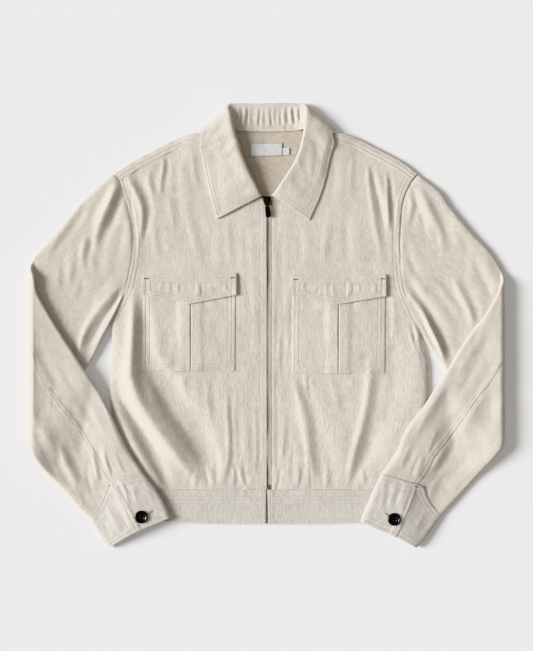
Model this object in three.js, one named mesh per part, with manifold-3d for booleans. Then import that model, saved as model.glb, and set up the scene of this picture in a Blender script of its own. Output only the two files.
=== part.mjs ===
// Chore jacket lying on its back, zip closed, both forearms folded in over the body.
// Millimetres. +Y towards the collar, +Z up from the surface it lies on.
// u is the distance from the centre line on either side, y the height on the jacket.

import * as THREE from 'three';
import Module from 'manifold-3d';

const CLOTH = 1.2; // one layer of canvas
const DOUBLE = 2.0; // two layers sewn together: collar, flaps, band, cuffs
const POCKET_CLOTH = 1.0;
const GAP = 0.4; // clear space between pieces that touch in the real garment
const HEM_Y = -278; // seam between the fronts and the waistband
const BAND_Y = -336;
const FRONT_Z = 5.4; // middle of the fronts' cloth over the surface
const BACK_Z = CLOTH / 2;
const SHOULDER_R = (FRONT_Z - BACK_Z) / 2; // the back turns over the shoulder
const STRIP = 13; // width of the back's strip in front of the shoulder
const NECK_LIFT = 3.0; // the collar's fall lies under the back there
const FOLD_U = 393.8; // elbow fold
const FOLD_Z = 9.4; // centre of the turn at the elbow
const SLEEVE_EDGE = 7; // width of the round edge of a flat sleeve
const SLEEVE_HALF = 3.3; // half the distance between its two layers at the edge

const CANVAS = 0xded5ca;
const CANVAS_INSIDE = 0xb8ab98;
const TRIM = 0x141312;

// Outlines, each row u, y.
const SHOULDER_LINE = [
  [0, 329.5],
  [30, 330.5],
  [58, 336],
  [75, 341],
  [91, 333.5],
  [105, 327.5],
  [131, 325.5],
  [158, 316],
  [185, 302],
  [214, 287],
  [236, 274],
];
const NECK_SHARE = 0.29; // part of that line inside the neck opening

const BODY = {
  right: {
    sign: -1,
    armpit: 10,
    shoulderEnd: [258.2, 260],
    armhole: [
      [265, 10], [249, 42], [238, 66], [232, 95], [227, 130],
      [227, 158], [232, 189], [240, 217], [251, 243], [260, 258.5],
    ],
    side: [
      [219, -278], [238, -242], [256, -194], [265, -143],
      [267, -106], [266, -79], [262, -33], [265, 10],
    ],
    pocket: { inner: 53, outer: 209.5, top: 86, bottom: -77, slit: 129, tip: 36.5 },
  },
  left: {
    sign: 1,
    armpit: -4,
    shoulderEnd: [255.2, 258.6],
    armhole: [
      [261, -4], [253, 12], [242, 35], [231, 65], [226, 98],
      [225, 135], [226, 169], [228, 201], [234, 224], [243, 242], [257, 257],
    ],
    side: [
      [220, -278], [240, -242], [259, -194], [271, -147],
      [275, -106], [274, -65], [267, -34], [261, -4],
    ],
    pocket: { inner: 43.5, outer: 201, top: 84, bottom: -81, slit: 121.5, tip: 36 },
  },
};

const SLEEVE = {
  right: {
    sign: -1,
    upperTop: [[260, 258.5], [290, 234], [318, 207], [340, 180], [363, 152], [384, 129], [393.8, 118]],
    upperUnder: [[265, 10], [287, -35], [308, -73], [352, -135], [378, -170], [393.8, -190]],
    foreTop: [
      [393.8, 86], [391, 62], [382, 42], [358, 1], [335, -35], [309, -75],
      [287, -108], [263, -152], [239, -204], [210, -249],
    ],
    foreUnder: [[393.8, -221], [385, -235], [367, -256], [341, -283], [318, -310], [300, -326]],
    cuffSeam: [[210, -249], [251, -256], [268, -266], [277, -287], [283, -302], [300, -326]],
    cuffTop: [[210, -249], [180, -290], [164, -325]],
    cuffUnder: [[300, -326], [282, -358], [267, -376]],
    cuffEnd: [[164, -325], [221, -349], [267, -376]],
    slitAtEnd: 0.56,
    button: [212, -323],
  },
  left: {
    sign: 1,
    upperTop: [[257, 257], [294, 228], [313, 201], [350, 156], [376, 128], [393.8, 102]],
    upperUnder: [[261, -4], [277, -36], [306, -75], [345, -135], [374, -172], [393.8, -192]],
    foreTop: [
      [393.8, 66], [388, 50], [366, 13], [350, -5], [327, -39], [306, -75],
      [285, -107], [265, -138], [236, -176], [219, -214], [194, -250],
    ],
    foreUnder: [[393.8, -212], [386, -221], [363, -247], [334, -280], [295, -323]],
    cuffSeam: [[194, -250], [213, -256], [257, -269], [265, -274], [274, -296], [295, -323]],
    cuffTop: [[194, -250], [178, -286], [159, -331]],
    cuffUnder: [[295, -323], [268, -360], [253, -376]],
    cuffEnd: [[159, -331], [184, -343], [218, -357], [253, -376]],
    slitAtEnd: 0.62,
    button: [215, -327],
  },
};

// Soft ridges and troughs: from u0, y0 to u1, y1, with half width and height.
const FRONT_FOLDS = {
  right: [
    { u0: 224, y0: 247, u1: 210, y1: 157, width: 12, height: -1.1 },
    { u0: 175, y0: 262, u1: 168, y1: 150, width: 12, height: 1.2 },
    { u0: 120, y0: 262, u1: 128, y1: 140, width: 14, height: 0.8 },
    { u0: 238, y0: 60, u1: 222, y1: -90, width: 13, height: -1.2 },
    { u0: 229, y0: -92, u1: 199, y1: -177, width: 13, height: -1.2 },
    { u0: 199, y0: -177, u1: 100, y1: -258, width: 14, height: -1.2 },
    { u0: 199, y0: -220, u1: 139, y1: -270, width: 12, height: 1.4 },
    { u0: 70, y0: -110, u1: 60, y1: -220, width: 14, height: 0.9 },
    { u0: 28, y0: -120, u1: 22, y1: -255, width: 9, height: -0.7 },
  ],
  left: [
    { u0: 170, y0: 275, u1: 201, y1: 154, width: 12, height: 1.4 },
    { u0: 196, y0: 253, u1: 215, y1: 162, width: 10, height: -1.0 },
    { u0: 110, y0: 262, u1: 116, y1: 140, width: 14, height: 0.8 },
    { u0: 243, y0: 40, u1: 230, y1: -90, width: 13, height: -1.0 },
    { u0: 179, y0: -106, u1: 145, y1: -262, width: 13, height: -1.4 },
    { u0: 204, y0: -98, u1: 109, y1: -223, width: 13, height: 1.3 },
    { u0: 60, y0: -110, u1: 78, y1: -230, width: 13, height: 0.9 },
    { u0: 24, y0: -120, u1: 26, y1: -255, width: 9, height: -0.7 },
  ],
};

const UPPER_FOLDS = {
  right: [
    { u0: 248, y0: 225, u1: 290, y1: 140, width: 13, height: -1.6 },
    { u0: 262, y0: 235, u1: 318, y1: 170, width: 13, height: 1.8 },
    { u0: 240, y0: 120, u1: 285, y1: 40, width: 16, height: -0.9 },
    { u0: 300, y0: 110, u1: 350, y1: 60, width: 16, height: 1.2 },
  ],
  left: [
    { u0: 245, y0: 215, u1: 292, y1: 160, width: 13, height: -1.3 },
    { u0: 258, y0: 236, u1: 322, y1: 180, width: 12, height: 1.7 },
    { u0: 238, y0: 130, u1: 290, y1: 60, width: 16, height: 1.0 },
    { u0: 250, y0: 60, u1: 290, y1: 0, width: 12, height: -1.2 },
    { u0: 330, y0: 130, u1: 370, y1: 60, width: 14, height: -0.9 },
  ],
};

const FORE_FOLDS = {
  right: [
    { u0: 372, y0: 20, u1: 352, y1: -120, width: 16, height: 1.6 },
    { u0: 388, y0: -60, u1: 360, y1: -180, width: 14, height: -1.2 },
    { u0: 330, y0: -120, u1: 280, y1: -205, width: 13, height: 1.2 },
    { u0: 345, y0: -225, u1: 310, y1: -270, width: 13, height: 1.2 },
    { u0: 255, y0: -190, u1: 236, y1: -240, width: 10, height: -1.0 },
  ],
  left: [
    { u0: 380, y0: 10, u1: 350, y1: -110, width: 16, height: 1.5 },
    { u0: 384, y0: -80, u1: 345, y1: -180, width: 14, height: -1.1 },
    { u0: 318, y0: -90, u1: 270, y1: -190, width: 13, height: 1.2 },
    { u0: 340, y0: -215, u1: 300, y1: -265, width: 13, height: 1.1 },
    { u0: 246, y0: -190, u1: 226, y1: -235, width: 10, height: -0.9 },
  ],
};

// Sections of the collar from the front corner to the middle of the back. Columns, each u, y, z:
// neck seam, just inside the roll, crest of the roll, just outside it, outer edge.
const COLLAR_COLUMNS = ['seam', 'stand', 'roll', 'fall', 'edge'];
const COLLAR = {
  right: [
    [[10, 217.5, 8.0], [13, 216, 8.3], [18, 214, 8.6], [24, 211, 8.8], [84, 181, 8.4]],
    [[25, 228, 8.2], [19, 232, 9.0], [16.5, 234.5, 11.2], [20, 232, 13.2], [89, 195, 8.6]],
    [[44, 241, 8.4], [32, 254, 10.2], [28.5, 257.5, 13.0], [33, 255, 15.6], [95, 218, 9.0]],
    [[62, 262, 8.8], [45, 280, 11.8], [40, 284, 14.8], [45, 281, 17.6], [102, 248, 9.6]],
    [[75, 287, 10.2], [54, 306, 13.0], [49, 310, 16.0], [54, 307, 18.8], [109, 284, 11.0]],
    [[83, 310, 11.8], [62, 332, 13.8], [57, 337, 16.6], [61, 336, 19.2], [113, 308, 12.2]],
    [[80, 326, 12.2], [64, 350, 13.6], [61, 359, 15.8], [66, 360, 17.6], [110, 323, 12.4]],
    [[74, 332, 12.0], [63, 357, 12.8], [64, 367, 13.8], [70, 366, 14.2], [113, 327, 10.6]],
    [[68, 334, 10.6], [61, 362, 11.4], [65, 373, 10.2], [72, 370, 8.6], [116, 331, 6.6]],
    [[61, 333, 8.6], [58, 365, 9.6], [62, 376, 6.6], [68, 369, 2.7], [114, 328.5, 2.2]],
    [[53, 331, 6.9], [54, 367, 8.2], [56, 376.5, 5.2], [62, 366, 1.6], [109, 321.5, 1.2]],
    [[38, 328, 6.0], [39, 369, 7.2], [40, 376.5, 4.4], [44, 368, 1.4], [84, 309, 1.2]],
    [[20, 326.5, 5.8], [20, 370, 6.9], [20, 376.5, 4.2], [22, 369, 1.4], [42, 306, 1.2]],
  ],
  left: [
    [[10, 217.5, 8.0], [13, 216, 8.3], [18, 214, 8.6], [24, 210, 8.8], [72, 179, 8.4]],
    [[26, 228, 8.2], [21, 233, 9.0], [18.5, 236.5, 11.2], [22, 234, 13.2], [79, 194, 8.6]],
    [[46, 240, 8.4], [35, 253, 10.2], [31.5, 256.5, 13.0], [36, 254, 15.6], [89, 217, 9.0]],
    [[66, 262, 8.8], [52, 277, 11.8], [47.5, 280, 14.8], [52, 278, 17.6], [99, 248, 9.6]],
    [[78, 287, 10.2], [61, 300, 13.0], [56.5, 304, 16.0], [61, 302, 18.8], [107, 284, 11.0]],
    [[84, 310, 11.8], [67, 326, 13.8], [63, 331, 16.6], [66, 331, 19.2], [114, 308, 12.2]],
    [[80, 326, 12.2], [66, 346, 13.6], [64, 355, 15.8], [69, 356, 17.6], [111, 323, 12.4]],
    [[74, 332, 12.0], [64, 356, 12.8], [65, 366, 13.8], [71, 365, 14.2], [114, 327, 10.6]],
    [[68, 334, 10.6], [61, 362, 11.4], [65, 373, 10.2], [72, 370, 8.6], [117, 331, 6.6]],
    [[61, 333, 8.6], [58, 365, 9.6], [62, 376, 6.6], [68, 369, 2.7], [115, 328.5, 2.2]],
    [[53, 331, 6.9], [54, 367, 8.2], [56, 376.5, 5.2], [62, 366, 1.6], [109, 321.5, 1.2]],
    [[38, 328, 6.0], [39, 369, 7.2], [40, 376.5, 4.4], [44, 368, 1.4], [84, 309, 1.2]],
    [[20, 326.5, 5.8], [20, 370, 6.9], [20, 376.5, 4.2], [22, 369, 1.4], [42, 306, 1.2]],
  ],
  middle: [[0, 326, 5.8], [0, 370, 6.8], [0, 376.5, 4.2], [0, 369, 1.4], [0, 305, 1.2]],
};

const group = new THREE.Group();
group.name = 'chore_jacket';

// General helpers

function mix(a, b, t) {
  return a + (b - a) * t;
}

function smooth(t) {
  const k = Math.min(1, Math.max(0, t));
  return k * k * (3 - 2 * k);
}

function spline(rows) {
  return new THREE.SplineCurve(rows.map((row) => new THREE.Vector2(row[0], row[1])));
}

function evenly(count) {
  return Array.from({ length: count + 1 }, (_, k) => k / count);
}

// Patch between four edges: across a along from, to; up b along low, high.
function patch(from, to, low, high) {
  const c00 = from(0);
  const c10 = from(1);
  const c01 = to(0);
  const c11 = to(1);
  return (a, b) => {
    const p = from(a).clone().multiplyScalar(1 - b);
    p.addScaledVector(to(a), b);
    p.addScaledVector(low(b), 1 - a);
    p.addScaledVector(high(b), a);
    p.addScaledVector(c00, -(1 - a) * (1 - b));
    p.addScaledVector(c10, -a * (1 - b));
    p.addScaledVector(c01, -(1 - a) * b);
    p.addScaledVector(c11, -a * b);
    return p;
  };
}

function tangent(before, here, after) {
  const back = here.clone().sub(before);
  const ahead = after.clone().sub(here);
  const sum = new THREE.Vector3();
  if (back.lengthSq() > 1e-12) sum.add(back.normalize());
  if (ahead.lengthSq() > 1e-12) sum.add(ahead.normalize());
  return sum.normalize();
}

// Closed wall of even thickness about a grid of points on its middle surface.
function wall(name, grid, thickness, colour) {
  const rows = grid.length;
  const cols = grid[0].length;
  const row = (i) => Math.max(0, Math.min(rows - 1, i));
  const col = (j) => Math.max(0, Math.min(cols - 1, j));
  const at = (i, j) => grid[row(i)][col(j)];
  const points = [];
  for (const side of [1, -1]) {
    for (let i = 0; i < rows; i += 1) {
      for (let j = 0; j < cols; j += 1) {
        const here = at(i, j);
        const down = tangent(at(i - 1, j), here, at(i + 1, j));
        const along = tangent(at(i, j - 1), here, at(i, j + 1));
        const normal = down.cross(along).normalize();
        const p = here.clone().addScaledVector(normal, (side * thickness) / 2);
        points.push(p.x, p.y, p.z);
      }
    }
  }
  const half = rows * cols;
  const index = [];
  const quad = (a, b, c, d) => index.push(a, b, c, a, c, d);
  for (let i = 0; i < rows - 1; i += 1) {
    for (let j = 0; j < cols - 1; j += 1) {
      const a = i * cols + j;
      quad(a, a + cols, a + cols + 1, a + 1);
      quad(half + a, half + a + 1, half + a + cols + 1, half + a + cols);
    }
  }
  for (let j = 0; j < cols - 1; j += 1) {
    const last = (rows - 1) * cols + j;
    quad(j, j + 1, half + j + 1, half + j);
    quad(last + 1, last, half + last, half + last + 1);
  }
  for (let i = 0; i < rows - 1; i += 1) {
    const first = i * cols;
    const end = i * cols + cols - 1;
    quad(first + cols, first, half + first, half + first + cols);
    quad(end, end + cols, half + end + cols, half + end);
  }
  if (signedVolume(points, index) < 0) index.reverse();
  const geometry = new THREE.BufferGeometry();
  geometry.setAttribute('position', new THREE.Float32BufferAttribute(points, 3));
  geometry.setIndex(index);
  geometry.computeVertexNormals();
  add(name, geometry, colour);
}

function signedVolume(points, index) {
  const a = new THREE.Vector3();
  const b = new THREE.Vector3();
  const c = new THREE.Vector3();
  let sum = 0;
  for (let k = 0; k < index.length; k += 3) {
    a.fromArray(points, index[k] * 3);
    b.fromArray(points, index[k + 1] * 3);
    c.fromArray(points, index[k + 2] * 3);
    sum += a.dot(b.cross(c)) / 6;
  }
  return sum;
}

function add(name, geometry, colour) {
  const mesh = new THREE.Mesh(geometry, new THREE.MeshStandardMaterial({ color: colour }));
  mesh.name = name;
  group.add(mesh);
}

// Height of soft folds at a point.
function folds(rows, u, y) {
  let sum = 0;
  for (const f of rows) {
    const du = f.u1 - f.u0;
    const dy = f.y1 - f.y0;
    const t = ((u - f.u0) * du + (y - f.y0) * dy) / (du * du + dy * dy);
    const k = Math.min(1, Math.max(0, t));
    const d = Math.hypot(u - f.u0 - k * du, y - f.y0 - k * dy) / f.width;
    sum += f.height * Math.exp(-d * d) * (0.6 + 0.4 * Math.sin(Math.PI * k));
  }
  return sum;
}

// Heights shared by the body pieces

function neckLift(u, y) {
  return NECK_LIFT * smooth((160 - u) / 36) * smooth((y - 262) / 34);
}

function sideU(side, y) {
  const rows = BODY[side].side;
  for (let k = 0; k < rows.length - 1; k += 1) {
    if (y <= rows[k + 1][1] || k === rows.length - 2) {
      const t = (y - rows[k][1]) / (rows[k + 1][1] - rows[k][1]);
      return mix(rows[k][0], rows[k + 1][0], Math.min(1, t));
    }
  }
  return rows[0][0];
}

// How far the cloth has rolled down towards the side seam: 0 at the seam, 1 inside.
function rollOff(side, u, y, width) {
  const { armpit } = BODY[side];
  const inward = Math.max(0, sideU(side, Math.min(y, armpit)) - u);
  const d = Math.hypot(inward, Math.max(0, y - armpit)) / width;
  const k = 1 - Math.min(1, d);
  return Math.sqrt(1 - k * k);
}

const SEAM_Z = CLOTH + GAP + CLOTH / 2; // fronts where they meet the back at the side

function frontZ(side, u, y) {
  const flat = FRONT_Z + neckLift(u, y) + folds(FRONT_FOLDS[side], u, y);
  return mix(SEAM_Z, flat, rollOff(side, u, y, 12));
}

// Back, in one with the strips in front of the shoulders

function shoulder(side, share, inward) {
  const curve = spline([...SHOULDER_LINE, BODY[side].shoulderEnd]);
  const p = curve.getPointAt(share);
  const t = curve.getTangentAt(share);
  return new THREE.Vector2(p.x + t.y * inward, p.y - t.x * inward);
}

function sideEdge(side, inset) {
  const rows = [...BODY[side].side, ...BODY[side].armhole.slice(1)];
  return spline(rows.map((row) => [row[0] - inset, row[1]]));
}

const BACK_ROWS = [0, 0.12, 0.24, 0.36, 0.48, 0.6, 0.7, 0.78, 0.84, 0.88, 0.91, 0.94, 0.97, 1];

function backColumn(side, share) {
  const sign = BODY[side].sign;
  const edge = sideEdge(side, 1.8);
  const inNeck = share < NECK_SHARE;
  const top = (a) => {
    const strip = SHOULDER_R + CLOTH / 2;
    const p = shoulder(side, a, a < NECK_SHARE ? 0 : strip);
    if (a < NECK_SHARE) p.y -= 4.8;
    return p;
  };
  const corner = top(1);
  const high = (b) => {
    const p = edge.getPointAt(b);
    const end = edge.getPointAt(1);
    return p.add(corner.clone().sub(end).multiplyScalar(smooth((b - 0.8) / 0.2)));
  };
  const low = (b) => new THREE.Vector2(0, mix(HEM_Y, top(0).y, b));
  const bottom = (a) => new THREE.Vector2(mix(0, edge.getPointAt(0).x, a), HEM_Y);
  const flat = patch(bottom, top, low, high);
  const points = BACK_ROWS.map((b) => {
    const p = flat(share, b);
    return new THREE.Vector3(sign * p.x, p.y, BACK_Z + neckLift(p.x, p.y));
  });
  const base = top(share);
  const z = BACK_Z + neckLift(base.x, base.y);
  const turn = [0.25, 0.5, 0.75, 1, 1, 1];
  turn.forEach((part, k) => {
    if (inNeck) {
      points.push(new THREE.Vector3(sign * base.x, base.y + 0.8 * (k + 1), z));
      return;
    }
    const angle = Math.PI * part;
    const back = [0, 0, 0, 0, STRIP / 2, STRIP][k];
    const inward = SHOULDER_R + CLOTH / 2 - SHOULDER_R * Math.sin(angle) + back;
    const p = shoulder(side, share, inward);
    points.push(new THREE.Vector3(sign * p.x, p.y, z + SHOULDER_R * (1 - Math.cos(angle))));
  });
  return points;
}

const backShares = [1, 0.985, 0.93, 0.84, 0.74, 0.64, 0.54, 0.44, 0.35, 0.25, 0.17, 0.09];
const backColumns = [
  ...backShares.map((share) => backColumn('right', share)),
  backColumn('right', 0),
  ...[...backShares].reverse().map((share) => backColumn('left', share)),
];
wall('back', backColumns, CLOTH, CANVAS_INSIDE);

// Fronts

const NECKLINE = [[0.6, 190], [1.4, 209], [9, 216.5], [25, 226], [44, 239], [62, 260], [76, 286]];
const PATCH_Y = 100; // rows are level below this

function frontGrid(side) {
  const { sign, pocket, armpit } = BODY[side];
  const inset = 0.9;
  const topOf = (share) => shoulder(side, mix(0.345, 1, share), SHOULDER_R + CLOTH / 2 + STRIP + 1.3);
  const edge = BODY[side].armhole;
  const neckEnd = topOf(0);
  const neck = spline([[0.6, PATCH_Y], [0.6, 150], ...NECKLINE, [neckEnd.x, neckEnd.y]]);
  const shoulderEnd = topOf(1);
  const above = edge.filter((row) => row[1] > PATCH_Y + 8 && row[1] < 236);
  const armU = mix(230, 226, 0.8);
  const outer = spline([[armU, PATCH_Y], ...above, [shoulderEnd.x + inset, shoulderEnd.y]]);
  const high = (b) => {
    const p = outer.getPointAt(b);
    return new THREE.Vector2(p.x - inset, p.y);
  };
  const inner = (k) => mix(0.6, pocket.inner, k / 3);
  const levels = [0, 1, 2].map(inner);
  evenly(6).forEach((k) => levels.push(mix(pocket.inner, pocket.outer, k)));
  const last = armU - inset;
  levels.push(mix(pocket.outer, last, 0.4), last - 5, last - 1.5, last);
  const shares = levels.map((u) => (u - levels[0]) / (last - levels[0]));
  const bottom = (a) => new THREE.Vector2(mix(levels[0], last, a), PATCH_Y);
  const upper = patch(bottom, topOf, (b) => neck.getPointAt(b), high);
  const grid = [];
  const rows = [-277.7, -262, -240, -212, -180, -148, -116, -84, -50, -16, armpit, 40, 70];
  const armhole = spline([...edge.filter((row) => row[1] <= PATCH_Y), [armU, PATCH_Y]]);
  const armholeU = (y) => {
    let u = armU;
    for (const t of evenly(60)) {
      const p = armhole.getPointAt(t);
      if (p.y <= y) u = p.x;
    }
    return u;
  };
  rows.forEach((y) => {
    const end = (y <= armpit ? sideU(side, y) : armholeU(y)) - inset;
    grid.push(
      levels.map((u, k) => {
        const past = (u - pocket.outer) / (last - pocket.outer);
        const near = u <= pocket.outer ? u : mix(pocket.outer, end, past);
        const even = mix(levels[0], end, shares[k]);
        let x = y < -80 ? mix(even, near, smooth((y + 200) / 110)) : near;
        if (k > levels.length - 4) x = end - (last - u);
        return place(x, y);
      }),
    );
  });
  [0, 0.15, 0.29, 0.39, 0.445, 0.49, 0.58, 0.7, 0.82, 0.92, 1].forEach((b) => {
    grid.push(shares.map((a) => {
      const p = upper(a, b);
      return place(p.x, p.y);
    }));
  });
  function place(across, y) {
    const u = Math.max(0.6, across);
    return new THREE.Vector3(sign * u, y, frontZ(side, u, y));
  }
  return grid;
}

// Patch pockets with an inverted pleat: two folds meet at the slit.
// across: distance from the slit, lift: layers under that point.
const PLEAT = [
  { across: 17, layer: 2 },
  { across: 1.2, layer: 2 },
  { across: 0.62, layer: 1.5 },
  { across: 1.2, layer: 1 },
  { across: 13.2, layer: 1 },
  { across: 13.8, layer: 0.5 },
  { across: 13.2, layer: 0 },
];
const PLY = POCKET_CLOTH + 0.35;

function pocketGrid(side) {
  const { sign, pocket } = BODY[side];
  const profile = [];
  const outward = [{ across: pocket.outer - pocket.slit, layer: 0 }];
  outward.push({ across: mix(26, pocket.outer - pocket.slit, 0.6), layer: 0 });
  outward.push({ across: 26, layer: 0.05 }, ...PLEAT);
  const inward = [{ across: pocket.inner - pocket.slit, layer: 0 }];
  inward.push({ across: mix(-26, pocket.inner - pocket.slit, 0.6), layer: 0 });
  inward.push({ across: -26, layer: 0.05 });
  PLEAT.forEach((row) => inward.push({ across: -row.across, layer: row.layer }));
  profile.push(...outward, ...inward.reverse());
  const rows = [0, 0.2, 0.4, 0.6, 0.8, 1].map((k) => mix(pocket.bottom, pocket.top - 10, k));
  return rows.map((y) => profile.map((row) => {
    const u = pocket.slit + row.across;
    const z = frontZ(side, u, y) + CLOTH / 2 + 0.6 + POCKET_CLOTH / 2 + row.layer * PLY;
    return new THREE.Vector3(sign * u, y, z);
  }));
}

function flapGrid(side) {
  const { sign, pocket } = BODY[side];
  const inner = pocket.inner - 1.5;
  const outer = pocket.outer + 1.5;
  const shares = [0, 0.12, 0.26, 0.38, 0.44, 0.5, 0.56, 0.62, 0.74, 0.88, 1];
  return [0, 0.08, 0.18, 0.45, 0.72, 1].map((down) => shares.map((a) => {
    const u = mix(inner, outer, a);
    const tip = 1 - Math.abs(a - 0.5) * 2;
    const end = mix(pocket.top - 34, pocket.tip, tip);
    const y = mix(pocket.top + 2, end, down);
    const over = smooth(down / 0.18);
    const pleat = smooth((32 - Math.abs(u - pocket.slit)) / 14) * 2 * PLY;
    const lift = over * (POCKET_CLOTH + GAP + 0.3 + pleat);
    const z = frontZ(side, u, y) + CLOTH / 2 + 0.6 + DOUBLE / 2 + lift;
    return new THREE.Vector3(sign * u, y, z);
  }));
}

// Waistband

function bandGrid(side) {
  const { sign } = BODY[side];
  const shares = [0, 0.1, 0.22, 0.36, 0.5, 0.64, 0.78, 0.9, 0.965, 0.99, 1];
  return [0, 0.2, 0.6, 1].map((down) => shares.map((a) => {
    const end = mix(sideU(side, HEM_Y), 214, down) - 0.6;
    const u = mix(0.8 + 0.5 * down, end, a);
    const y = mix(HEM_Y - 0.6, BAND_Y + 8 * Math.pow(a, 3), down);
    const d = 1 - Math.min(1, (end - u) / 12);
    const flat = FRONT_Z + 0.4 + 0.8 * smooth(down / 0.2) * (1 - smooth((down - 0.7) / 0.3));
    const z = mix(DOUBLE + GAP + DOUBLE / 2, flat, Math.sqrt(1 - d * d));
    return new THREE.Vector3(sign * u, y, z);
  }));
}

function bandBackGrid() {
  const shares = [-1, -0.66, -0.33, 0, 0.33, 0.66, 1];
  return [0, 0.5, 1].map((down) => shares.map((a) => {
    const end = mix(sideU(a < 0 ? 'right' : 'left', HEM_Y), 214, down) - 0.6;
    const y = mix(HEM_Y - 0.6, BAND_Y + 8 * Math.pow(Math.abs(a), 3), down);
    return new THREE.Vector3(a * end, y, DOUBLE / 2);
  }));
}

for (const side of ['right', 'left']) {
  wall('front_' + side, frontGrid(side), CLOTH, CANVAS);
  wall('pocket_' + side, pocketGrid(side), POCKET_CLOTH, CANVAS);
  wall('flap_' + side, flapGrid(side), DOUBLE, CANVAS);
  wall('waistband_' + side, bandGrid(side), DOUBLE, CANVAS);
}
wall('waistband_back', bandBackGrid(), DOUBLE, CANVAS);

// Sleeves

// Height of whatever the forearm lies on.
function support(side, u, y) {
  const spread = 75;
  const fade = (d) => (d <= 0 ? 1 : d >= spread ? 0 : (1 + Math.cos((Math.PI * d) / spread)) / 2);
  const body = 9.0 * fade(Math.hypot(
    Math.max(0, u - sideU(side, Math.max(HEM_Y, Math.min(y, BODY[side].armpit))) - 2),
    Math.max(0, BAND_Y - 2 - y),
  ));
  const beyond = (265 - u) * 0.839 + (10 - y) * 0.544 - 12;
  const arm = 9.6 * fade(beyond);
  const near = 1.3 * smooth((u - 350) / 40);
  return Math.pow(Math.pow(body, 5) + Math.pow(arm, 5), 0.2) + near * fade(beyond);
}

// Points across a flat sleeve. d: millimetres in from the top edge, or from the under edge
// where it is below zero. f: share between the round edges.
// layer: 1 the front of the sleeve, -1 its back, 0 on the edge itself.
const TOP_SLEEVE = [
  { f: 'seam', layer: -1 },
  { f: 0.66, ofSeam: true, layer: -1 },
  { f: 0.33, ofSeam: true, layer: -1 },
  { d: SLEEVE_EDGE, layer: -1 },
  { d: 2, layer: -0.7 },
  { d: 0, layer: 0 },
  { d: 2, layer: 0.7 },
  { d: SLEEVE_EDGE, layer: 1 },
  { f: 0.17, layer: 1 },
  { f: 0.34, layer: 1 },
  { f: 0.5, layer: 1 },
  { f: 0.66, layer: 1 },
  { f: 0.83, layer: 1 },
  { d: -SLEEVE_EDGE, layer: 1 },
  { d: -2, layer: 0.7 },
  { f: 'under edge', layer: 0 },
  { d: -2, layer: -0.7 },
  { d: -SLEEVE_EDGE, layer: -1 },
  { d: -10, layer: -1 },
];
const UNDER_SLEEVE = [
  { d: -11.4, layer: -1, flare: 14 },
  { f: 0.75, pastSeam: true, layer: -1 },
  { f: 0.5, pastSeam: true, layer: -1 },
  { f: 0.25, pastSeam: true, layer: -1 },
  { f: 'seam', layer: -1, past: true },
];
const SEAM_SHARE = 0.475; // the seam down the back of the sleeve, from its top edge

function shareOf(spot, width, seam) {
  const rim = SLEEVE_EDGE / width;
  if (spot.f === 'seam') return seam + ((spot.past ? 0.45 : -0.45) / width);
  if (spot.f === 'under edge') return 1;
  if (spot.ofSeam) return mix(rim, seam, spot.f);
  if (spot.pastSeam) return mix(seam, 1 - 11.6 / width, spot.f);
  if (spot.f !== undefined) return mix(rim, 1 - rim, spot.f);
  return spot.d >= 0 ? spot.d / width : 1 + spot.d / width;
}

function sleevePatches(side) {
  const s = SLEEVE[side];
  const arm = spline([...BODY[side].armhole].reverse());
  const topA = spline(s.upperTop);
  const underA = spline(s.upperUnder);
  const line = (from, to) => (t) => new THREE.Vector2(FOLD_U, mix(from, to, t));
  const upper = patch(
    (t) => topA.getPointAt(t),
    (t) => underA.getPointAt(t),
    (t) => {
      const p = arm.getPointAt(t);
      return new THREE.Vector2(p.x + 0.9, p.y);
    },
    line(s.upperTop.at(-1)[1], s.upperUnder.at(-1)[1]),
  );
  const topF = spline(s.foreTop);
  const underF = spline(s.foreUnder);
  const seam = spline(s.cuffSeam);
  const fore = patch(
    (t) => topF.getPointAt(t),
    (t) => underF.getPointAt(t),
    line(s.foreTop[0][1], s.foreUnder[0][1]),
    (t) => seam.getPointAt(t),
  );
  const topC = spline(s.cuffTop);
  const underC = spline(s.cuffUnder);
  const end = spline(s.cuffEnd);
  const cuff = patch(
    (t) => topC.getPointAt(t),
    (t) => underC.getPointAt(t),
    (t) => seam.getPointAt(t),
    (t) => end.getPointAt(t),
  );
  return { upper, fore, cuff };
}

// Middle surface of the upper arm at a share v along it and w across.
function upperPoint(side, patches, v, spot, seam) {
  const width = patches.upper(v, 0).distanceTo(patches.upper(v, 1));
  const w = shareOf(spot, width, seam) - ((spot.flare ?? 0) / width) * (1 - smooth(v / 0.3));
  const p = patches.upper(v, w);
  const half = mix(mix(2.7, SLEEVE_HALF, smooth(v / 0.25)), 2.9, smooth((v - 0.75) / 0.25));
  const belly = 4 * w * (1 - w);
  const covered = smooth((coveredBy(side, p.x, p.y) + 8) / 16);
  const crease = folds(UPPER_FOLDS[side], p.x, p.y) * (1 - covered) * smooth(belly / 0.3);
  const top = BACK_Z + 2 * half - 1.8 * belly * smooth(v / 0.2) * (1 - v) + crease;
  const z = mix(BACK_Z, top, (spot.layer + 1) / 2);
  return new THREE.Vector3(p.x, p.y, z);
}

// Distance by which a point lies under the forearm.
function coveredBy(side, u, y) {
  const rows = SLEEVE[side].foreTop;
  for (let k = 0; k < rows.length - 1; k += 1) {
    if (y <= rows[k][1] && y > rows[k + 1][1]) {
      return u - mix(rows[k][0], rows[k + 1][0], (y - rows[k][1]) / (rows[k + 1][1] - rows[k][1]));
    }
  }
  return -100;
}

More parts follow.
